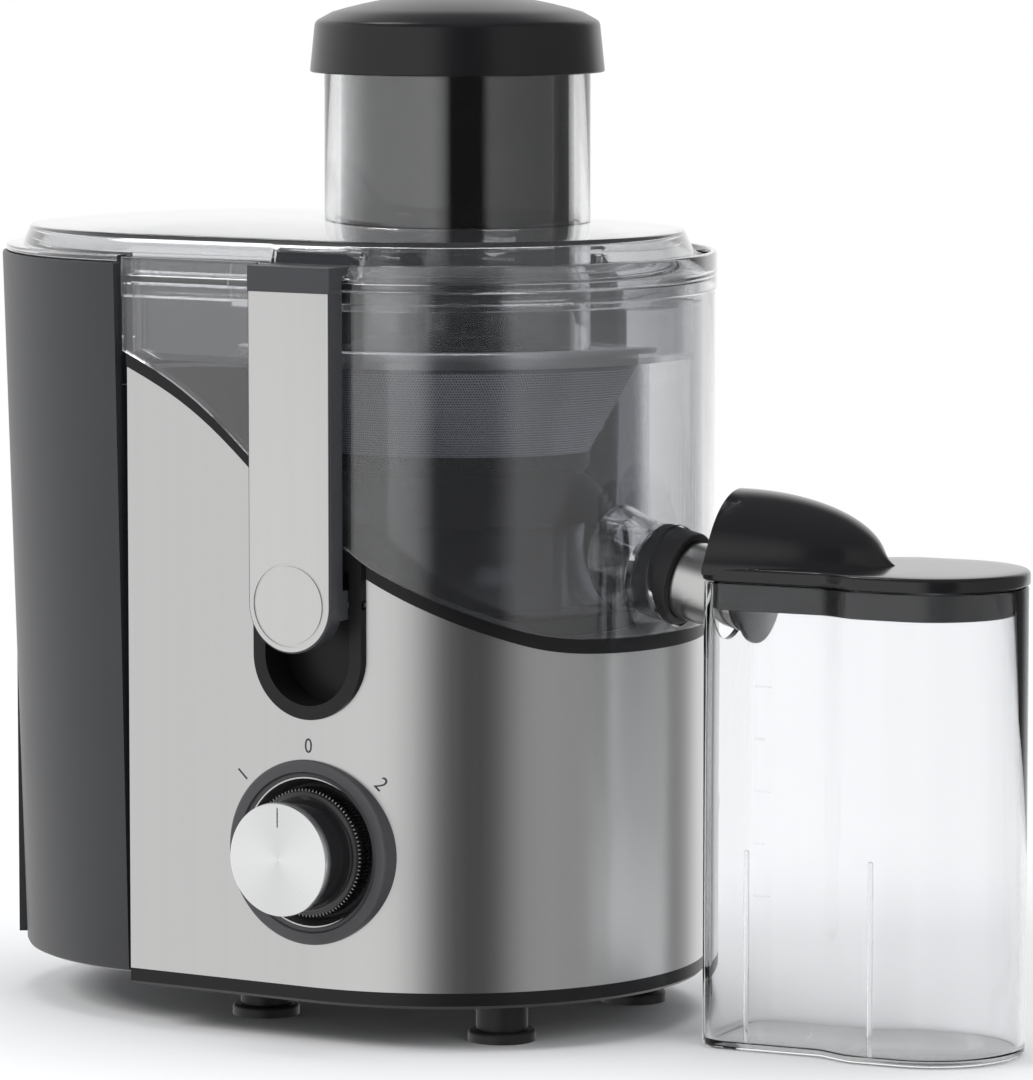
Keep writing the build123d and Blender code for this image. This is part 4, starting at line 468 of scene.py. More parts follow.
def bevel(piece, width, segments=3, angle_limit=40):
    modifier = piece.modifiers.new("Edges", "BEVEL")
    modifier.width = width
    modifier.segments = segments
    modifier.limit_method = "ANGLE"
    modifier.angle_limit = math.radians(angle_limit)
    modifier.harden_normals = False
    return modifier


def cut(piece, cutter, operation="DIFFERENCE"):
    """Cuts, joins or keeps what two closed meshes share, exactly."""
    modifier = piece.modifiers.new("Cut", "BOOLEAN")
    modifier.operation = operation
    modifier.solver = "EXACT"
    modifier.object = cutter
    settle(piece)
    bpy.data.objects.remove(cutter)
    return piece


# --- Sweeps ---


def span(node):
    """Lowest and highest corner of a CAD node, in mm from the bowl axis."""
    low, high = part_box(node)
    return (low - AXIS) / MM, (high - AXIS) / MM


def breadth(node):
    """Middle and half width of a CAD node along X."""
    low, high = span(node)
    return (low.x + high.x) / 2, (high.x - low.x) / 2


def front_face(node):
    """Distance of a node's front from the bowl axis."""
    return -span(node)[0].y


def full_turn(x=0.0, y=0.0, steps=128):
    """Stations all the way round an upright axis: a place and an outward direction each."""
    return [(x, y, FULL_TURN * k / steps) for k in range(steps)]


def d_turn(left, steps=96, straight=24):
    """Stations of a D: the front flank from x = left, the round end and the rear flank."""
    stations = [(left * (1 - k / straight), 0.0, -math.pi / 2) for k in range(straight)]
    stations += [(0.0, 0.0, math.pi * (k / steps - 0.5)) for k in range(steps + 1)]
    return stations + [(left * k / straight, 0.0, math.pi / 2) for k in range(1, straight + 1)]


def stadium_turn(left, steps=96, straight=24):
    """Stations of a stadium, round about the bowl axis and about x = left."""
    far = [(left, 0.0, math.pi * (k / steps + 0.5)) for k in range(1, steps)]
    return d_turn(left, steps, straight) + far


def swept(name, profile, stations, material, closed=True, smooth=30, place=None):
    """A closed profile of (radius, height) carried round the stations, or a profile worked out for each."""
    rings = []
    for x, y, turn in stations:
        points = profile(x, turn) if callable(profile) else profile
        rings.append([(x + r * math.cos(turn), y + r * math.sin(turn), z) for r, z in points])
    return make(name, *shell_mesh(rings, closed=closed, caps=not closed), material, smooth, place)


def stacked(name, rings, material, smooth=30, place=None):
    """A closed piece from level outlines of equal length, in order from one cap to the other."""
    return make(name, *shell_mesh(rings, closed=False, caps=True), material, smooth, place)


def facing_front(height):
    """Turns an upright piece to lie along -Y, with its axis at that height."""
    return lambda p: at(p[0], -p[2], height + p[1])


def along_spout(p):
    """Places a piece made about an upright axis along the dipping spout, from its seal ring."""
    cos, sin = math.cos(SPOUT_DIP), math.sin(SPOUT_DIP)
    return at(SPOUT_X + p[2] * cos + p[0] * sin, p[1], SPOUT_HEIGHT - p[2] * sin + p[0] * cos)


def in_jug(p):
    """Places a point given in the turned jug's own directions."""
    cos, sin = math.cos(JUG_TURN), math.sin(JUG_TURN)
    return at(SPOUT_X + p[0] * cos - p[1] * sin, p[0] * sin + p[1] * cos, p[2])


def block(name, low, high, material, place=None):
    """A box between two corners."""
    (a, b, c), (d, e, f) = low, high
    rings = [[(a, b, z), (d, b, z), (d, e, z), (a, e, z)] for z in (c, f)]
    return stacked(name, rings, material, place=place)


def u_outline(half_width, centre, top, steps=32):
    """A U standing on its round end: its right side, its foot and its left side."""
    return [(half_width, top), *arc(half_width, 0, -math.pi, steps, y=centre), (-half_width, top)]


def prism(name, outline, near, far, material, side=-1):
    """An outline across the front or rear, between two distances from the bowl axis."""
    rings = [[(x * -side, side * depth, z) for x, z in outline] for depth in (near, far)]
    return stacked(name, rings, material)


def crosswise(name, outline, left, right, material, place=None):
    """An outline of (depth, height) drawn out along X between two distances."""
    return stacked(name, [[(x, y, z) for y, z in outline] for x in (left, right)], material, place=place)


def joined(piece, other):
    """Adds another closed mesh to a piece that it meets."""
    return cut(piece, other, "UNION")


# --- Geometry nodes ---


def ring_tree():
    """Copies of the object's own mesh on a ring about Z, facing outwards."""
    name = "Ring of Copies"
    if name in bpy.data.node_groups:
        return bpy.data.node_groups[name]
    tree = bpy.data.node_groups.new(name, "GeometryNodeTree")
    for label, kind in (("Geometry", "Geometry"), ("Count", "Int"), ("Radius", "Float"), ("Material", "Material")):
        tree.interface.new_socket(label, in_out="INPUT", socket_type=f"NodeSocket{kind}")
    tree.interface.new_socket("Geometry", in_out="OUTPUT", socket_type="NodeSocketGeometry")
    graph = Graph(tree)
    given = graph.add("NodeGroupInput").outputs
    ring = graph.add("GeometryNodeMeshCircle", {"Vertices": given["Count"], "Radius": given["Radius"]})
    place = graph.add("GeometryNodeInputPosition").outputs["Position"]
    facing = graph.add("FunctionNodeAlignRotationToVector", {"Vector": place}, axis="X")
    copies = graph.add("GeometryNodeInstanceOnPoints", {
        "Points": ring.outputs["Mesh"], "Instance": given["Geometry"], "Rotation": facing.outputs["Rotation"]})
    real = graph.add("GeometryNodeRealizeInstances", {"Geometry": copies.outputs["Instances"]})
    paint = graph.add("GeometryNodeSetMaterial", {
        "Geometry": real.outputs["Geometry"], "Material": given["Material"]})
    graph.add("NodeGroupOutput", {"Geometry": paint.outputs["Geometry"]})
    return tree


def ring_of(name, points, faces, count, radius, material, place, smooth=30):
    """A ring of copies of one small mesh in mm, about the origin, then put in place."""
    mesh = bpy.data.meshes.new(name)
    mesh.from_pydata([Vector(p) for p in points], [], faces)
    piece = linked(name, mesh)
    modifier = piece.modifiers.new("Ring", "NODES")
    modifier.node_group = ring_tree()
    sockets = {item.name: item.identifier for item in modifier.node_group.interface.items_tree
               if item.item_type == "SOCKET" and item.in_out == "INPUT"}
    modifier[sockets["Count"]] = count
    modifier[sockets["Radius"]] = radius
    modifier[sockets["Material"]] = FINISHES[material]
    settle(piece)
    for vertex in piece.data.vertices:
        vertex.co = place(vertex.co)
    clean(piece.data, smooth)
    return piece


def merge(name, pieces):
    """Joins separate solids of one finish into one object."""
    shape = bmesh.new()
    for piece in pieces:
        shape.from_mesh(piece.data)
    mesh = bpy.data.meshes.new(name)
    shape.to_mesh(mesh)
    shape.free()
    mesh.materials.append(pieces[0].data.materials[0])
    for piece in pieces:
        bpy.data.objects.remove(piece)
    return linked(name, mesh)


# --- Stage ---

# Brightness of the studio round the juicer, by turn from the front towards the jug, in degrees
SURROUND = [
    (-180, 1.0), (-75, 1.0), (-60, 0.78), (8, 0.92), (18, 0.62), (26, 0.03), (54, 0.03), (62, 0.42),
    (82, 0.38), (140, 0.24), (162, 0.30), (176, 1.0),
]


class JUICER_OT_stage(bpy.types.Operator):
    """Lays the pale floor, the soft studio light and the camera"""

    bl_idname = "juicer.stage"
    bl_label = "Stage"

    def execute(self, context):
        given = context.scene.juicer_stage
        scene = context.scene
        scene.view_settings.view_transform = "Standard"
        self.lay_floor(given)
        self.build_world(scene)
        self.hang_lights()
        self.set_camera(scene, given)
        return {"FINISHED"}

    def lay_floor(self, given):
        """A round floor that fades to white far out for the camera and is open to other rays there."""
        material, graph, shader, output = start_material("Floor")
        graph.feed(shader, {"Base Color": (*given.floor, 1), "Roughness": 0.9, "Specular IOR Level": 0.1})
        reach = graph.vector("LENGTH", graph.place(), output="Value")
        glow = graph.add("ShaderNodeEmission", {"Color": (1, 1, 1, 1), "Strength": 1.0})
        through = graph.add("ShaderNodeBsdfTransparent")
        path = graph.add("ShaderNodeLightPath").outputs
        seen = graph.math("MAXIMUM", path["Is Camera Ray"], path["Is Transmission Ray"])
        far = graph.between(reach, (0.22, 0.75), interpolation_type="SMOOTHSTEP")
        beyond = graph.mix(path["Is Camera Ray"], through, glow)
        mixed = graph.mix(graph.math("MULTIPLY", seen, far), shader, beyond)
        graph.feed(output, {"Surface": mixed.outputs[0]})
        shape = bmesh.new()
        bmesh.ops.create_circle(shape, cap_ends=True, segments=96, radius=12)
        mesh = bpy.data.meshes.new("floor")
        shape.to_mesh(mesh)
        shape.free()
        mesh.materials.append(material)
        floor = linked("floor", mesh)
        floor.visible_glossy = False

    def build_world(self, scene):
        """White to the camera, soft light, and a ring of tones in gloss and glass."""
        scene.world = bpy.data.worlds.new("Studio")
        scene.world.use_nodes = True
        graph = Graph(scene.world.node_tree)
        place = graph.place("Generated")
        way = graph.add("ShaderNodeSeparateXYZ", {0: place}).outputs
        turn = graph.math("ARCTAN2", way["X"], graph.math("MULTIPLY", way["Y"], -1.0))
        stops = [(0.5 + degrees / 360, tone) for degrees, tone in SURROUND]
        ring = graph.ramp(graph.math("MULTIPLY_ADD", turn, 1 / FULL_TURN, 0.5), stops)
        above = graph.blend(graph.between(way["Z"], (0.45, 0.75)), ring, (0.14, 0.142, 0.145, 1))
        facing = graph.vector("DOT_PRODUCT", place, (-0.516, 0.10, 0.85), output="Value")
        above = graph.blend(graph.math("GREATER_THAN", facing, 0.988), above, (5, 5, 5, 1))
        path = graph.add("ShaderNodeLightPath").outputs
        sharp = graph.math("MAXIMUM", path["Is Glossy Ray"], path["Is Transmission Ray"])
        soft = graph.blend(sharp, (0.62, 0.63, 0.65, 1), above)
        tone = graph.blend(path["Is Camera Ray"], soft, (1, 1, 1, 1))
        sky = graph.add("ShaderNodeBackground", {"Color": tone, "Strength": 1.0})
        graph.add("ShaderNodeOutputWorld", {"Surface": sky.outputs[0]})

    def hang_lights(self):
        # name, place, size across and up, power, seen in gloss
        lights = (
            ("key", (-1.0, -1.2, 1.3), 1.1, 0.8, 22, False),
            ("fill", (1.5, -0.5, 1.0), 1.0, 1.0, 7, False),
            ("top", (0.0, 0.2, 1.6), 1.2, 0.9, 12, False),
        )
        for name, place, wide, high, power, glossy in lights:
            lamp = bpy.data.lights.new(name, "AREA")
            lamp.shape = "RECTANGLE"
            lamp.size, lamp.size_y = wide, high
            lamp.energy = power
            light = linked(name, lamp)
            light.location = place
            aim = Vector((0.0, 0.0, 0.15)) - Vector(place)
            light.rotation_euler = aim.to_track_quat("-Z", "Y").to_euler()
            light.visible_glossy = glossy
            light.visible_camera = False

    def set_camera(self, scene, given):
        lens = bpy.data.cameras.new("camera")
        lens.lens = given.lens
        lens.sensor_width = 36
        lens.clip_end = 50
        camera = linked("camera", lens)
        right = Vector((math.cos(given.azimuth), math.sin(given.azimuth), 0))
        ahead = Vector((-math.sin(given.azimuth), math.cos(given.azimuth), 0))
        up = Vector((0, 0, 1))
        camera.location = AXIS - ahead * given.distance + up * given.height + right * given.sideways
        aim = ahead * math.cos(given.pitch) - up * math.sin(given.pitch)
        camera.rotation_euler = aim.to_track_quat("-Z", "Y").to_euler()
        scene.camera = camera


# --- Finishes of all CAD nodes ---


class JUICER_OT_finishes(bpy.types.Operator):
    """Makes every finish and gives each CAD node its own"""

    bl_idname = "juicer.finishes"
    bl_label = "Finishes"

    def execute(self, context):
        tones = context.scene.juicer_colours
        low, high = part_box("knob_cap")
        knob_middle, axis = tuple((low + high) / 2), tuple(AXIS)
        FINISHES.update(
            steel=brushed("Brushed panel steel", tones.steel, roughness=0.30, stretch=(2600.0, 2600.0, 6.0),
                          depth=0.05, variation=0.012),
            latch=brushed("Latch aluminium", tones.aluminium, roughness=0.42, stretch=(1800.0, 1800.0, 30.0),
                          depth=0.06, variation=0.015),
            spun=turned("Spun knob aluminium", (0.90, 0.905, 0.91), knob_middle),
            spout=turned("Satin spout steel", (0.68, 0.675, 0.67), axis, roughness=0.22, depth=0.05),
            sieve=perforated("Perforated sieve steel", (0.93, 0.91, 0.87), axis),
            zinc=brushed("Zinc plated steel", (0.55, 0.55, 0.56), roughness=0.38, stretch=(300.0, 300.0, 300.0)),
            bearing=turned("Ground bearing steel", (0.62, 0.62, 0.64), axis, across=(1.0, 1.0, 0.0)),
            iron=brushed("Varnished laminations", (0.20, 0.20, 0.21), roughness=0.5, stretch=(20.0, 20.0, 2200.0)),
            copper=brushed("Enamelled copper", (0.62, 0.28, 0.12), roughness=0.32, stretch=(20.0, 20.0, 1500.0),
                           depth=0.5),
            carbon=plastic("Pressed carbon", (0.045, 0.045, 0.045), roughness=0.6),
            resin=plastic("Phenolic resin", (0.10, 0.095, 0.09), roughness=0.5),
            nylon=plastic("Moulded nylon", (0.055, 0.055, 0.06), roughness=0.45),
            dark=plastic("Satin bin plastic", tones.dark, roughness=0.40, specular=0.55),
            grip=plastic("Textured grip plastic", (0.028, 0.028, 0.031), roughness=0.55, grain=0.6, grain_scale=900.0),
            black=plastic("Satin black plastic", tones.black, roughness=0.34, specular=0.3),
            arm=plastic("Latch arm plastic", (0.040, 0.041, 0.045), roughness=0.36, specular=0.45),
            knob=plastic("Knob black plastic", (0.012, 0.012, 0.013), roughness=0.25, grain=0.1, coat=0.4),
            cap=plastic("Pusher cap black", (0.009, 0.009, 0.010), roughness=0.26, grain=0.15, specular=0.4),
            gloss=plastic("High gloss black", tones.gloss, roughness=0.20, grain=0.02, specular=0.35, coat=0.35,
                          variation=0.05),
            rubber=plastic("Moulded rubber", (0.018, 0.018, 0.019), roughness=0.50, grain=0.5, specular=0.4),
            smoke=clear("Clear smoky plastic", tones.smoke, roughness=0.03, ior=1.45, milk=0.012, gloss=1.5),
            chamber=clear("Smoky chamber plastic", tones.chamber, roughness=0.04, ior=1.45, gloss=1.3,
                          alpha_shadow=1.9),
            clear=clear("Clear jug plastic", tones.clear, roughness=0.01, ior=1.30, haze=0.01),
            pusher=clear("Dark pusher plastic", (0.05, 0.052, 0.06), roughness=0.04, ior=1.50, gloss=1.9),
            teeth=brushed("Knob serrations", (0.34, 0.34, 0.35), roughness=0.30, stretch=(400.0, 400.0, 400.0)),
            ink=plastic("Printed ink", (0.035, 0.035, 0.037), roughness=0.5, grain=0.05),
            tube=clear("Clear feed tube plastic", tones.tube, roughness=0.02, ior=1.48),
            bezel=plastic("Dial bezel plastic", (0.055, 0.055, 0.058), roughness=0.35, grain=0.15),
            grater=turned("Stamped grater steel", (0.66, 0.66, 0.65), axis, across=(1.0, 1.0, 0.0), roughness=0.3),
        )
        by_slot = {
            "black_plastic": "black", "zinc_steel": "zinc", "dark_plastic": "nylon", "stainless_panel": "steel",
            "rubber": "rubber", "knob_black": "knob", "spun_aluminium": "spun", "switch_resin": "resin",
            "bearing_steel": "bearing", "laminated_iron": "iron", "enamelled_copper": "copper",
            "carbon": "carbon", "commutator_copper": "copper", "fan_nylon": "nylon", "sieve_steel": "sieve",
            "clear_rim": "zinc", "clear_smoke": "smoke", "chamber_smoke": "chamber",
            "chromed_spout": "spout", "smoke_plastic": "pusher",
            "satin_black": "cap", "bin_plastic": "dark", "grip_plastic": "grip", "clear_jug": "clear",
            "gloss_black": "gloss", "latch_plastic": "arm", "latch_aluminium": "latch",
        }
        for part in frame["record"]["subparts"]:
            node = frame["nodes"][part["node"]]
            for place in node.material_slots:
                place.material = FINISHES[by_slot[part["material_slot"]]]
        return {"FINISHED"}


# --- Pusher and feed tube ---


class JUICER_OT_pusher(bpy.types.Operator):
    """Builds the pusher with its crowned cap, and the clear feed tube round it"""

    bl_idname = "juicer.pusher"
    bl_label = "Pusher and Feed Tube"

    def execute(self, context):
        low, high = span("feed_tube")
        middle, radius = breadth("feed_tube")
        self.add_cap(middle)
        self.add_body(middle)
        inner = radius - 3.0
        lip = rounded([(radius, low.z, 0.6), (radius, high.z, 0.9), (inner, high.z, 0.9), (inner, low.z, 0.6)])
        tube = swept("feed_tube_clear", lip, full_turn(middle), "tube")
        fit(tube, "lid", "clear_smoke", "feed_tube")
        return {"FINISHED"}

    def add_cap(self, middle):
        low, high = span("pusher_cap")
        radius, body_top = breadth("pusher_cap")[1], span("pusher_body")[1].z
        shoulder = high.z - 9.0
        crown = [(r, high.z - 6.6 * (r / (radius - 4.6)) ** 2, 0) for r in (0, 6, 12, 18, 24, 30, 35, 39)]
        corners = [*crown, (radius - 1.6, shoulder + 0.2, 2.6), (radius, low.z, 0.7), (radius - 2.6, low.z, 0.7),
                   (radius - 2.6, body_top, 0.6), (0, body_top, 0)]
        cap = swept("pusher_cap_crowned", rounded(corners, 6), full_turn(middle), "cap")
        fit(cap, "pusher", "satin_black", "pusher_cap")

    def add_body(self, middle):
        low, high = span("pusher_body")
        radius = breadth("pusher_body")[1] - 1.2
        key_half, key_depth, wall = 0.13, 2.6, 2.2

        def profile(x, turn):
            """Section with a keyway towards the jug."""
            off = abs((turn + math.pi) % FULL_TURN - math.pi)
            outer = radius - (key_depth if off < key_half else 0)
            return [(outer - 2, low.z), (outer - 0.6, low.z + 0.6), (outer, low.z + 2), (outer, high.z),
                    (outer - wall, high.z), (outer - wall, low.z + 3), (0, low.z + 3), (0, low.z)]

        body = swept("pusher_body_smoked", profile, full_turn(middle, steps=192), "pusher", smooth=40)
        fit(body, "pusher", "smoke_plastic", "pusher_body")


# --- Lid ---


class JUICER_OT_lid(bpy.types.Operator):
    """Builds the clear lid: crowned plate, sloped side, rim over the bin, skirt and lugs"""

    bl_idname = "juicer.lid"
    bl_label = "Lid"

    def execute(self, context):
        low, high = span("lid")
        flange_radius = high.y
        left = low.x + flange_radius
        foot, wall, crown = 78.0, 2.2, 3.5
        edge = high.z - crown
        foot_top, foot_low = 238.5, 234.3
        plate = foot - 4.2
        bin_top = span("pulp_bin")[1].z
        outer = [(plate * k / 8, edge + crown * (1 - (k / 8) ** 2), 0) for k in range(8)]
        inner_plate = plate - wall - 0.6
        inner = [(inner_plate * k / 8, edge - wall + crown * (1 - (k / 8) ** 2), 0) for k in range(7, -1, -1)]
        corners = [*outer, (plate, edge, 1.0), (foot - 0.7, foot_top, 0.5), (foot, foot_top - 0.4, 0.3),
                   (foot, foot_low, 0.5), (foot - 3.4, foot_low, 0.5), (foot - 3.4, foot_top, 1.0),
                   (inner_plate, edge - wall, 1.0), *inner]
        lid = swept("lid_clear", rounded(corners, 5), stadium_turn(left), "smoke", smooth=35)
        rim_foot, bowl_side = bin_top + 0.3, -66.2
        cut(lid, block("under", (left - 120, -120, foot_low - 5), (bowl_side, 120, rim_foot), "smoke"))
        self.add_rim(lid, left, flange_radius, rim_foot)
        self.add_skirt(lid, foot_low)
        self.add_lugs(lid, foot_low)
        middle, radius = breadth("feed_tube")
        hole = [(radius + 0.02, 225.0), (radius + 0.02, 260.0), (0, 260.0), (0, 225.0)]
        cut(lid, swept("hole", hole, full_turn(middle), "smoke"))
        fit(lid, "lid", "clear_smoke", "lid", smooth=35)
        return {"FINISHED"}

    def add_rim(self, lid, left, radius, bottom):
        """The thin rim over the bin's edge."""
        inner, foot, top = 72.0, bottom + 0.05, bottom + 2
        stations = [(left, 0.0, math.pi * (k / 96 + 0.5)) for k in range(97)]
        profile = rounded([(inner, foot, 0), (radius, foot, 0.4), (radius, top, 0.7), (inner, top, 0)])
        joined(lid, swept("rim", profile, stations, "smoke", closed=False))

    def add_skirt(self, lid, foot_low):
        """The skirt inside the bowl, open over the pulp chute at x = -38."""
        outer, low, top = 74.7, foot_low - 8.3, foot_low + 1
        inner, start = outer - 1.8, math.acos(-38.0 / outer)
        stations = [(0.0, 0.0, start * (2 * k / 120 - 1)) for k in range(121)]
        profile = rounded([(inner, low, 0.5), (outer, low, 0.5), (outer, top, 0), (inner, top, 0)])
        joined(lid, swept("skirt", profile, stations, "smoke", closed=False))

    def add_lugs(self, lid, foot_low):
        """A hollow lug behind each latch hook."""
        half, back, front, wall = 15.8, 68.4, 74.8, 2.0
        for side in (-1, 1):
            def place(p, side=side):
                return at(p[0], side * p[1], p[2])

            lug = block("lug", (-half, back, foot_low + 0.5), (half, front, 243.6), "smoke", place)
            bevel(lug, 0.0009)
            settle(lug)
            cut(lid, block("notch", (-half, front, 236.5), (half, 82.0, 250.0), "smoke", place))
            joined(lid, lug)
            cut(lid, block("hollow", (wall - half, 64.0, foot_low - 1), (half - wall, front - wall, 243.6 - wall),
                           "smoke", place))


# --- Bowl ---


WAVE = []


def wave_height(x):
    """Height of the base's sweeping upper edge at x, read from the trim's own mesh."""
    if not WAVE:
        tops = {}
        for vertex in frame["nodes"]["trim_band"].data.vertices:
            place = (vertex.co - AXIS) / MM
            if abs(place.y) > 10 or place.x > 60:
                key = round(place.x, 1)
                tops[key] = max(tops.get(key, 0), place.z)
        edge = sorted(tops.items())
        WAVE.extend(point for i, point in enumerate(edge) if point[1] >= max(z for _, z in edge[i:]) - 0.05)
    previous = WAVE[0]
    for here in WAVE:
        if here[0] >= x:
            gap = here[0] - previous[0]
            mix = (x - previous[0]) / gap if gap else 0
            return previous[1] + (here[1] - previous[1]) * max(0, min(1, mix))
        previous = here
    return previous[1]


class JUICER_OT_bowl(bpy.types.Operator):
    """Builds the clear bowl: shroud with its collar, smoky chamber with its dome, and spout stub"""

    bl_idname = "juicer.bowl"
    bl_label = "Juice Bowl"

    def execute(self, context):
        self.add_shroud()
        self.add_chamber()
        self.add_stub()
        return {"FINISHED"}

    def add_shroud(self):
        low, high = span("bowl_shroud")
        collar, top = high.y, high.z
        outer, inner = collar - 0.5, collar - 2.5
        floor = span("bowl_tray")[1].z + 0.05
        tray, web = 77.0, 232.0

        def profile(x, turn):
            """Section whose foot follows the sweeping edge, lower under the latch hooks."""
            here = x + outer * math.cos(turn)
            foot = wave_height(here) + 0.45
            rim = top - 3.5 if abs(here) < 16.0 else top
            return [(outer, foot), (outer, 227.6), (outer + 0.12, 228.0), (collar, 228.4), (collar, rim - 0.7),
                    (collar - 0.25, rim - 0.2), (collar - 0.8, rim), (collar - 1.5, rim), (collar - 2.0, rim - 0.25),
                    (collar - 2.2, rim - 0.8), (collar - 2.2, web + 2.3), (collar - 2.5, web + 2.0),
                    (tray - 1.4, web + 2.0), (tray - 2.0, web + 1.5), (tray - 2.0, floor), (tray, floor),
                    (tray, web - 0.6), (tray + 0.5, web), (inner - 0.5, web), (inner, web - 0.6), (inner, foot)]

        shroud = swept("bowl_shroud_clear", profile, d_turn(low.x), "smoke", closed=False, smooth=35)
        cut(shroud, swept("window", [(15.2, -20), (15.2, 25), (0, 25), (0, -20)], full_turn(), "smoke",
                          place=along_spout))
        fit(shroud, "base", "clear_smoke", "bowl_shroud", smooth=35)

    def add_chamber(self):
        low, high = span("juice_chamber")
        radius, floor, top = high.x, low.z, high.z
        dome_top, neck, foot, wall = span("chamber_dome")[1].z, 42.6, 56.0, 2.0
        shoulder = dome_top - 8.0

        def flare(narrow, wide, high_z, low_z, steps=10):
            """The dome's flared foot: a quarter of an oval from its side out to the floor."""
            return [(wide - (wide - narrow) * math.cos(math.pi / 2 * k / steps),
                     high_z - (high_z - low_z) * math.sin(math.pi / 2 * k / steps), 0) for k in range(steps + 1)]

        corners = [(radius, floor, 1.5), (radius, top, 0), (radius - wall, top, 0), (radius - wall, floor + wall, 3.0),
                   *reversed(flare(neck, foot, shoulder, floor + wall)), (neck, dome_top, 1.2),
                   (12.5, dome_top, 0.4), (12.5, dome_top - wall, 0.4), (neck - wall, dome_top - wall, 0.8),
                   *flare(neck - wall, foot - wall, shoulder - wall, floor)]
        chamber = swept("juice_chamber_smoked", rounded(corners, 4), full_turn(steps=160), "chamber", smooth=35)
        bore = [(SPOUT_BORE, -30.0), (SPOUT_BORE, 0.0), (0, 0.0), (0, -30.0)]
        cut(chamber, swept("bore", bore, full_turn(steps=64), "chamber", place=along_spout))
        fit(chamber, "base", "chamber_smoke", "juice_chamber", "chamber_dome", smooth=35)

    def add_stub(self):
        corners = [(16.8, -24.0, 0), (18.5, -24.0, 0), (15.6, -15.0, 4.0), (14.2, -8.0, 2.0), (14.3, -5.6, 0.6),
                   (SPOUT_BORE, -5.6, 0.6), (SPOUT_BORE, -9.0, 1.0), (13.8, -15.6, 4.0)]
        stub = swept("spout_stub_clear", rounded(corners, 6), full_turn(steps=96), "smoke", place=along_spout)
        radius = span("juice_chamber")[1].x + 0.03
        cut(stub, swept("chamber", [(radius, 100.0), (radius, 220.0), (0, 220.0), (0, 100.0)], full_turn(steps=160),
                        "smoke"))
        fit(stub, "base", "clear_smoke", "spout_stub", smooth=35)


# --- Spout seal ---


class JUICER_OT_spout(bpy.types.Operator):
    """Builds the black seal ring round the steel spout"""

    bl_idname = "juicer.spout"
    bl_label = "Spout"

    def execute(self, context):
        corners = [(12.25, -5.45, 0.3), (14.6, -5.45, 0.8), (14.6, 7.4, 1.0), (12.25, 7.4, 0.6)]
        seal = swept("spout_seal_ring", rounded(corners, 5), full_turn(steps=96), "rubber", place=along_spout)
        fit(seal, "base", "rubber", "spout_seal")
        return {"FINISHED"}


# --- Latches ---


class JUICER_OT_latches(bpy.types.Operator):
    """Builds the two latch arms with their dark caps, and their satin plates"""

    bl_idname = "juicer.latches"
    bl_label = "Latches"

    def execute(self, context):
        for side, where in ((-1, "front"), (1, "rear")):
            self.add_arm(side, where)
            self.add_plate(side, where)
        return {"FINISHED"}

    def add_arm(self, side, where):
        low, high = span(f"latch_arm_{where}")
        half, face = breadth(f"latch_arm_{where}")[1], high.y if side > 0 else -low.y
        back, pivot = face - 7.0, low.z + half
        cap_low = span(f"latch_plate_{where}")[1].z

        def place(p):
            return at(p[0], side * p[1], p[2])

        arm = prism(f"latch_arm_{where}_body", u_outline(half, pivot, cap_low + 1), back, face - 0.62, "arm", side)
        hook = 75.2  # the hook's nose, over the lid's lug
        section = [(hook, high.z - 0.4), (hook + 3, high.z - 2.6), (back, high.z - 2.6), (back, cap_low),
                   (face, cap_low), (face, high.z), (hook, high.z)]
        cap = crosswise("cap", section, -half, half, "arm", place)
        boss = face - 11.5
        lug = crosswise("lug", arc(4.5, 0, FULL_TURN, 32, boss, pivot)[:-1], -half, half, "arm", place)
        bridge = block("bridge", (-half, boss, pivot - 4.4), (half, back + 1, pivot + 4.4), "arm", place=place)
        bevel(cap, 0.0016, 4)
        settle(cap)
        joined(lug, bridge)
        cut(lug, crosswise("pin", arc(1.55, 0, FULL_TURN, 24, boss, pivot)[:-1], -half - 1, half + 1, "arm", place))
        joined(arm, lug)
        joined(arm, cap)
        clean(arm.data, 30)
        bevel(arm, 0.0005, 2, 50)
        settle(arm, 35)
        fit(arm, f"{where}_latch", "latch_plastic", f"latch_arm_{where}")

    def add_plate(self, side, where):
        low, high = span(f"latch_plate_{where}")
        half, face = breadth(f"latch_plate_{where}")[1], high.y if side > 0 else -low.y
        pivot = low.z + half
        outline = u_outline(half, pivot, high.z, 48)
        plate = prism(f"latch_plate_{where}_satin", outline, face - 0.6, face, "latch", side)
        bevel(plate, 0.0002, 2)
        settle(plate)
        ring = [(half - 1.5, face - 0.35), (half - 1.5, face + 1), (half - 2.5, face + 1), (half - 2.5, face - 0.35)]
        groove = swept("groove", ring, full_turn(steps=96), "latch",
                       place=lambda p: at(p[0], side * p[2], pivot + p[1]))
        cut(plate, groove)
        fit(plate, f"{where}_latch", "latch_aluminium", f"latch_plate_{where}", smooth=25)


# --- Speed knob, bezel and labels ---


# Distance of the bezel's seat from the bowl axis, and its floor's thickness
BEZEL_SEAT, BEZEL_FLOOR = 74.0, 1.2


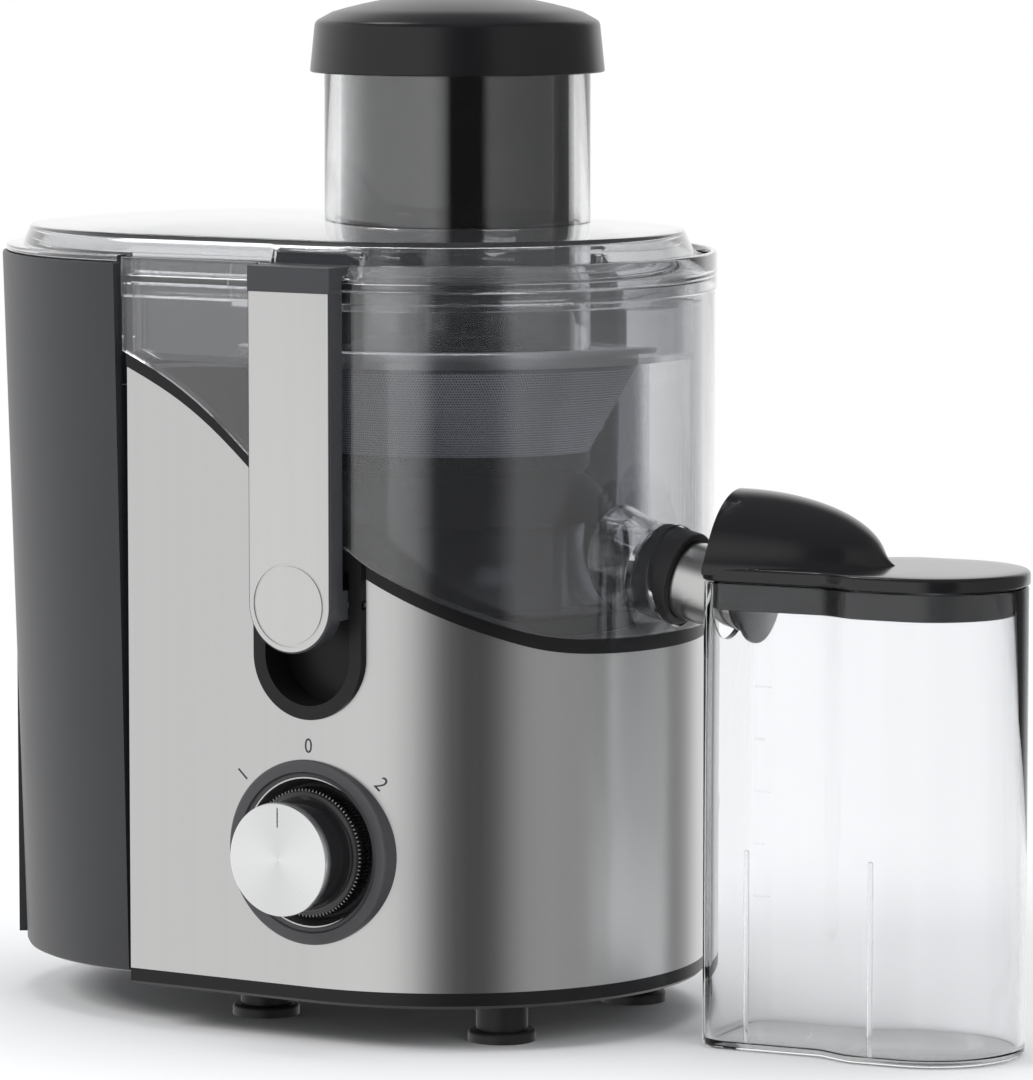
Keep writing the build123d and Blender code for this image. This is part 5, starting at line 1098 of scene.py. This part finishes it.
class JUICER_OT_knob(bpy.types.Operator):
    """Builds the speed knob with its fine teeth, its dished bezel and the figures round it"""

    bl_idname = "juicer.knob"
    bl_label = "Speed Knob"

    def execute(self, context):
        low, high = span("knob_cap")
        height, radius = (low.z + high.z) / 2, breadth("knob_cap")[1]
        face, place = front_face("knob_cap"), facing_front(height)
        self.add_body(context.scene.juicer_sizes.knob_teeth, radius, face, place)
        self.add_cap(radius, face, place)
        self.add_bezel(place)
        self.add_figures(height)
        return {"FINISHED"}

    def add_body(self, count, radius, face, place):
        rear = BEZEL_SEAT + BEZEL_FLOOR + 0.3
        shaft = -span("knob_body")[1].y
        skirt, inside = 19.2, radius - 0.9
        corners = [(0, shaft, 0), (3.0, shaft, 0.3), (3.0, rear, 0), (skirt, rear, 0.6), (skirt, rear + 7.6, 0.8),
                   (inside + 0.6, rear + 8.4, 1.6), (inside, face - 3.0, 0), (0, face - 3.0, 0)]
        body = swept("knob_body_black", rounded(corners, 5), full_turn(steps=128), "knob", place=place)
        width, depth, length_z = 0.30, 0.75, 6.6
        tooth = [(-0.2, -width, 0), (-0.2, width, 0), (depth, 0, 0.35),
                 (-0.2, -width, length_z), (-0.2, width, length_z), (depth, 0, length_z - 0.35)]
        faces = [(0, 1, 2), (5, 4, 3), (0, 2, 5, 3), (2, 1, 4, 5), (1, 0, 3, 4)]
        teeth = ring_of("knob_serrations", tooth, faces, count, skirt, "teeth",
                        place=lambda p: place((p[0], p[1], p[2] + rear + 0.6)), smooth=20)
        fit(body, "speed_knob", "knob_black", "knob_body")
        fit(teeth, "speed_knob", "knob_black")

    def add_cap(self, radius, face, place):
        corners = [(0, face - 3.0, 0), (radius, face - 3.0, 0.2), (radius, face, 0.7), (0, face, 0)]
        cap = swept("knob_cap_spun", rounded(corners, 4), full_turn(steps=128), "spun", place=place)
        marker = block("marker", (-0.3, radius - 7.5, face - 0.35), (0.3, radius - 1.5, face + 1), "spun", place=place)
        cut(cap, marker)
        fit(cap, "speed_knob", "spun_aluminium", "knob_cap", smooth=25)

    def add_bezel(self, place):
        radius, face = breadth("knob_bezel")[1], front_face("knob_bezel")
        seat, floor = BEZEL_SEAT, BEZEL_SEAT + BEZEL_FLOOR
        corners = [(3.3, seat, 0), (3.3, floor, 0.3), (20.9, floor, 1.2), (21.4, face - 5.0, 0.8),
                   (23.2, face - 1.1, 0.4), (24.4, face - 0.9, 0.3), (24.8, face - 0.1, 0.3), (radius, face - 0.1, 0.9),
                   (radius, face - 7.4, 0), (22.6, face - 7.4, 0), (22.6, seat, 0)]
        bezel = swept("knob_bezel_dished", rounded(corners, 5), full_turn(steps=128), "bezel", place=place)
        fit(bezel, "base", "black_plastic", "knob_bezel")

    def add_figures(self, height):
        """Plain figures 0, 1 and 2 on the curved panel, each turned to face the knob."""
        panel = front_face("front_panel")
        for text, lean in (("0", 0.0), ("1", 47.0), ("2", -47.0)):
            curve = bpy.data.curves.new("figure", "FONT")
            curve.body, curve.size = text, 1.0
            curve.align_x, curve.align_y = "CENTER", "CENTER"
            curve.resolution_u = 8
            lettering = linked("figure", curve)
            bpy.context.view_layer.update()
            flat = bpy.data.meshes.new_from_object(lettering.evaluated_get(bpy.context.evaluated_depsgraph_get()))
            bpy.data.objects.remove(lettering)
            way = math.radians(lean)
            size, reach = 6.4, 32.6
            for vertex in flat.vertices:
                x, up = vertex.co.x * size * 0.9, vertex.co.y * size + reach
                across = x * math.cos(way) - up * math.sin(way)
                rise = x * math.sin(way) + up * math.cos(way)
                vertex.co = at(across, -math.sqrt((panel + 0.06) ** 2 - max(0.0, across) ** 2), height + rise)
            flat.materials.clear()
            flat.materials.append(FINISHES["ink"])
            clean(flat, 30)
            fit(linked(f"dial_figure_{text}", flat), "base", "black_plastic")


# --- Pulp bin ---


class JUICER_OT_bin(bpy.types.Operator):
    """Builds the tapering pulp bin with its rounded rim"""

    bl_idname = "juicer.bin"
    bl_label = "Pulp Bin"

    def execute(self, context):
        low, high = span("pulp_bin")
        flat = high.x
        top_radius = high.y
        wall, taper = 2.2, 6.2

        def outline(height, inset):
            """The bin's half-round plan at that height, its corners rounded."""
            share_up = (height - low.z) / (high.z - low.z)
            radius = top_radius - taper * (1 - share_up) - inset
            right = flat - inset
            corner = max(0.4, 2.0 - inset)
            plan = [(min(x, right - corner * 0.3), y) for x, y in arc(radius, math.pi / 2, math.pi * 1.5, 96, x=flat)]
            plan += [(right, corner - radius), (right, 0), (right, radius - corner)]
            return [(x, y, height) for x, y in plan]

        heights = [(low.z, 1.6), (low.z + 0.5, 0.5), (low.z + 1.6, 0.0), (high.z - 60, 0.0), (high.z - 0.7, 0.0),
                   (high.z - 0.2, 0.25), (high.z, 0.75), (high.z, wall - 0.7), (high.z - 0.6, wall),
                   (high.z - 60, wall), (low.z + 4.0, wall), (low.z + 2.6, wall + 0.7), (low.z + wall, wall + 2.0)]
        shell = stacked("pulp_bin_shell", [outline(z, inset) for z, inset in heights], "dark", smooth=35)
        cut(shell, block("mouth", (flat - 5, -79, 200.0), (flat + 5, 79, high.z + 5), "dark"))
        fit(shell, "pulp_bin", "bin_plastic", "pulp_bin", smooth=35)
        return {"FINISHED"}


# --- Jug and its lid ---

JUG_LEFT, JUG_RIGHT, JUG_NARROW, JUG_WIDE = 19.0, 87.0, 24.0, 29.2
JUG_NECK = (58.0, 74.0)
JUG_CORNER = 9.0


def jug_outline(inset, steps=48):
    """The jug's plan in its own directions, anticlockwise, all walls moved in by inset."""
    left, narrow, wide = JUG_LEFT + inset, JUG_NARROW - inset, JUG_WIDE - inset
    corner = max(0.5, JUG_CORNER - inset)
    swell = [(JUG_NECK[0] + (JUG_NECK[1] - JUG_NECK[0]) * k / 12,
              narrow + (wide - narrow) * (1 - math.cos(math.pi * k / 12)) / 2) for k in range(13)]
    flat = [(left + corner + (JUG_NECK[0] - left - corner) * k / 6, narrow) for k in range(6)]
    front = [(x, -y) for x, y in [*flat, *swell]]
    end = arc(wide, -math.pi / 2, math.pi / 2, steps, x=JUG_RIGHT)
    back = [*flat, *swell][::-1]
    turn_back = arc(corner, math.pi / 2, math.pi, 12, left + corner, narrow - corner)[1:]
    turn_front = [(x, -y) for x, y in reversed(turn_back)]
    return [*front, *end, *back, *turn_back, *turn_front]


def jug_rings(levels):
    """The jug's plan at each (height, inset)."""
    return [[(x, y, z) for x, y in jug_outline(inset)] for z, inset in levels]


class JUICER_OT_jug(bpy.types.Operator):
    """Builds the clear jug with its notch, two upright ribs and plain measuring marks"""

    bl_idname = "juicer.jug"
    bl_label = "Juice Jug"

    def execute(self, context):
        top = span("jug")[1].z
        levels = [(0.0, 2.2), (0.25, 1.1), (0.9, 0.35), (1.8, 0.0), (60.0, 0.0), (top - 0.8, 0.0), (top - 0.2, 0.25),
                  (top, 0.8), (top, 1.2), (top - 0.2, 1.75), (top - 0.8, 2.0), (60.0, 2.0), (4.2, 2.0), (2.9, 2.5),
                  (2.2, 3.6), (2.0, 5.2)]
        jug = stacked("jug_clear", jug_rings(levels), "clear", smooth=35, place=in_jug)
        for x, wall in ((35.8, JUG_NARROW), (78.5, JUG_WIDE)):
            joined(jug, self.rib(x, wall))
        self.cut_notch(jug, top)
        fit(jug, "jug", "clear_jug", "jug", smooth=35)
        self.add_marks(context.scene.juicer_sizes.jug_marks)
        return {"FINISHED"}

    def rib(self, x, wall):
        """A thin upright rib inside the front wall, with a rounded top."""
        half, depth, top = 0.75, 3.0, 62.0
        outline = [(x - half, 1.0), (x + half, 1.0), *arc(half, 0, math.pi, 8, x, top - half)]
        rings = [[(a, y, z) for a, z in outline] for y in (-wall + 1.0, -wall + depth)]
        rib = stacked("rib", rings, "clear", place=in_jug)
        bevel(rib, 0.0003, 2)
        return settle(rib)

    def cut_notch(self, jug, top):
        """The spout's round-footed notch in the jug's left wall."""
        radius, centre, above = 16.5, 137.5, top + 3
        outline = [*arc(radius, 0, -math.pi, 32, y=centre), (-radius, above), (radius, above)]
        cut(jug, crosswise("notch", outline, JUG_LEFT - 3, JUG_LEFT + JUG_CORNER, "clear", in_jug))

    def add_marks(self, count):
        """Short plain dashes beside the left rib."""
        marks = []
        for k in range(count):
            low = 48.0 + 16.0 * k
            wide = 5.0 if k % 2 == 0 else 3.0
            mark = block("mark", (38.5, -JUG_NARROW + 1.9, low), (38.5 + wide, -JUG_NARROW + 2.2, low + 0.5), "clear",
                         place=in_jug)
            marks.append(mark)
        whole = merge("jug_measure_marks", marks)
        shade(whole.data, 30)
        fit(whole, "jug", "clear_jug")


class JUICER_OT_jug_lid(bpy.types.Operator):
    """Builds the gloss black jug lid with its hood, skirt and baffle"""

    bl_idname = "juicer.jug_lid"
    bl_label = "Jug Lid"

    # The hood's open end, length, radius and sink into the plate; its tail starts at a share of the length
    left, nose, radius, sink = 21.5, 50.0, 22.2, 0.5
    body, tail = 0.955, 8.5

    def execute(self, context):
        jug_top = span("jug")[1].z
        bottom = jug_top + 0.3
        top = bottom + 4.5
        levels = [(bottom, 0.3), (bottom + 0.3, -0.3), (bottom + 0.6, -0.5), (top - 1.4, -0.5), (top - 0.7, -0.3),
                  (top - 0.2, 0.25), (top, 1.1), (top + 0.15, 4.0), (top + 0.25, 8.0)]
        plate = stacked("jug_lid_gloss", jug_rings(levels), "gloss", smooth=35, place=in_jug)
        solids = [plate, self.hood("hood", top, 0.0), self.skirt(bottom)]
        for solid in solids:
            cut(solid, self.hood("hollow", top, 2.0))
        whole = merge("jug_lid_hooded", [*solids, self.baffle(top)])
        fit(whole, "jug_lid", "gloss_black", "jug_lid", smooth=35)
        return {"FINISHED"}

    def section_radius(self, x, inset):
        """Radius of the hood's half-round section at x, with a soft tail at its nose."""
        reach = self.nose - inset * 2
        share_along = max(0.0, (x - self.left) / reach)
        if share_along < self.body:
            return (self.radius - inset) * math.sqrt(1 - share_along**2)
        end = (self.radius - inset) * math.sqrt(1 - self.body**2)
        tail = (x - self.left - self.body * reach) / self.tail
        return end * max(0.0, 1 - tail) ** 2 if inset == 0 else end * max(0.0, 1 - tail * 4)

    def hood(self, name, top, inset):
        """The hood over the spout; its outer skin flares into the plate."""
        outer = inset == 0
        end = self.left + (self.nose * self.body + self.tail if outer else self.nose - 2 * inset)
        columns = [self.left + (end - self.left) * math.sin(math.pi / 2 * k / 44) for k in range(45)]
        if not outer:
            columns = [self.left - 12, *columns]
        lean, depth = (0.09, 2.0) if outer else (0.0, 24.0)
        rings = []
        for x in columns:
            r = max(0.05, self.section_radius(x, inset))
            flare = min(2.4, r * 0.3) if outer else 0
            section = []
            for turn in (math.pi * k / 40 for k in range(41)):
                reach = r + flare * (1 - math.sin(turn)) ** 7
                section.append((reach * math.cos(turn), reach * math.sin(turn)))
            section += [(section[-1][0], -depth), (section[0][0], -depth)]
            rings.append([(x + max(0.0, b) * lean, a, top - self.sink + b) for a, b in section])
        return stacked(name, rings, "gloss", smooth=40, place=in_jug)

    def skirt(self, bottom):
        """The band inside the jug's mouth."""
        levels = [(bottom + 0.2, 2.3), (bottom - 8.6, 2.3), (bottom - 9.0, 2.7), (bottom - 9.0, 3.7),
                  (bottom - 8.6, 4.1), (bottom + 0.2, 4.1)]
        return make("skirt", *shell_mesh(jug_rings(levels)), "gloss", 35, in_jug)

    def baffle(self, top):
        """The tongue that turns the juice down, round at its lower end."""
        half, low = 17.0, 120.4
        centre = low + half
        reach = self.radius - 1.0
        start = math.acos(half / reach)
        outline = [*arc(half, 0, -math.pi, 32, y=centre), *arc(reach, math.pi - start, start, 24, y=top - self.sink)]
        tongue = crosswise("baffle", outline, 29.6, 31.2, "gloss", in_jug)
        bevel(tongue, 0.0003, 2, 60)
        return settle(tongue)


# --- Strainer basket ---


class JUICER_OT_basket(bpy.types.Operator):
    """Builds the grater disc with its rounded edge and its small teeth"""

    bl_idname = "juicer.basket"
    bl_label = "Strainer Basket"

    def execute(self, context):
        low, high = span("grater_disc")
        top = low.z + 0.8
        corners = [(0, low.z, 0), (high.x, low.z, 0), (high.x, top, 0.3), (0, top, 0)]
        solids = [swept("disc", rounded(corners), full_turn(), "grater")]
        tooth = [(-1.2, -0.35, 0), (1.2, -0.35, 0), (1.2, 0.35, 0), (-1.2, 0.35, 0), (-0.9, -0.1, 1.4),
                 (0.7, -0.1, 1.4), (0.7, 0.1, 1.4), (-0.9, 0.1, 1.4)]
        faces = [(3, 2, 1, 0), (4, 5, 6, 7), (0, 1, 5, 4), (1, 2, 6, 5), (2, 3, 7, 6), (3, 0, 4, 7)]
        for k in range(7):
            radius, count = 8.0 + 4.6 * k, 6 + 5 * k
            solids.append(ring_of("teeth", tooth, faces, count, radius, "grater",
                                  place=lambda p: at(p[0], p[1], p[2] + top - 0.05)))
        grater = merge("grater_toothed", solids)
        shade(grater.data, 30)
        fit(grater, "rotor", "sieve_steel", "grater_disc")
        return {"FINISHED"}


# --- Panel, registration and the run ---

OPERATORS = [
    JUICER_OT_stage, JUICER_OT_finishes, JUICER_OT_bowl, JUICER_OT_spout, JUICER_OT_basket, JUICER_OT_lid,
    JUICER_OT_pusher, JUICER_OT_latches, JUICER_OT_knob, JUICER_OT_bin, JUICER_OT_jug, JUICER_OT_jug_lid,
]


class JUICER_PT_panel(bpy.types.Panel):
    """Lists the steps that build the juicer"""

    bl_label = "Centrifugal Juicer"
    bl_space_type = "VIEW_3D"
    bl_region_type = "UI"
    bl_category = "Juicer"

    def draw(self, context):
        for step in OPERATORS:
            self.layout.operator(step.bl_idname)


GROUPS = {"juicer_stage": JuicerStage, "juicer_colours": JuicerColours, "juicer_sizes": JuicerSizes}


def register():
    for name, kind in GROUPS.items():
        bpy.utils.register_class(kind)
        setattr(bpy.types.Scene, name, bpy.props.PointerProperty(type=kind))
    for kind in [*OPERATORS, JUICER_PT_panel]:
        bpy.utils.register_class(kind)


def unregister():
    for kind in [JUICER_PT_panel, *reversed(OPERATORS)]:
        bpy.utils.unregister_class(kind)
    for name, kind in GROUPS.items():
        delattr(bpy.types.Scene, name)
        bpy.utils.unregister_class(kind)


def main():
    register()
    for step in OPERATORS:
        getattr(bpy.ops.juicer, step.bl_idname.split(".")[1])()


if __name__ == "__main__":
    main()
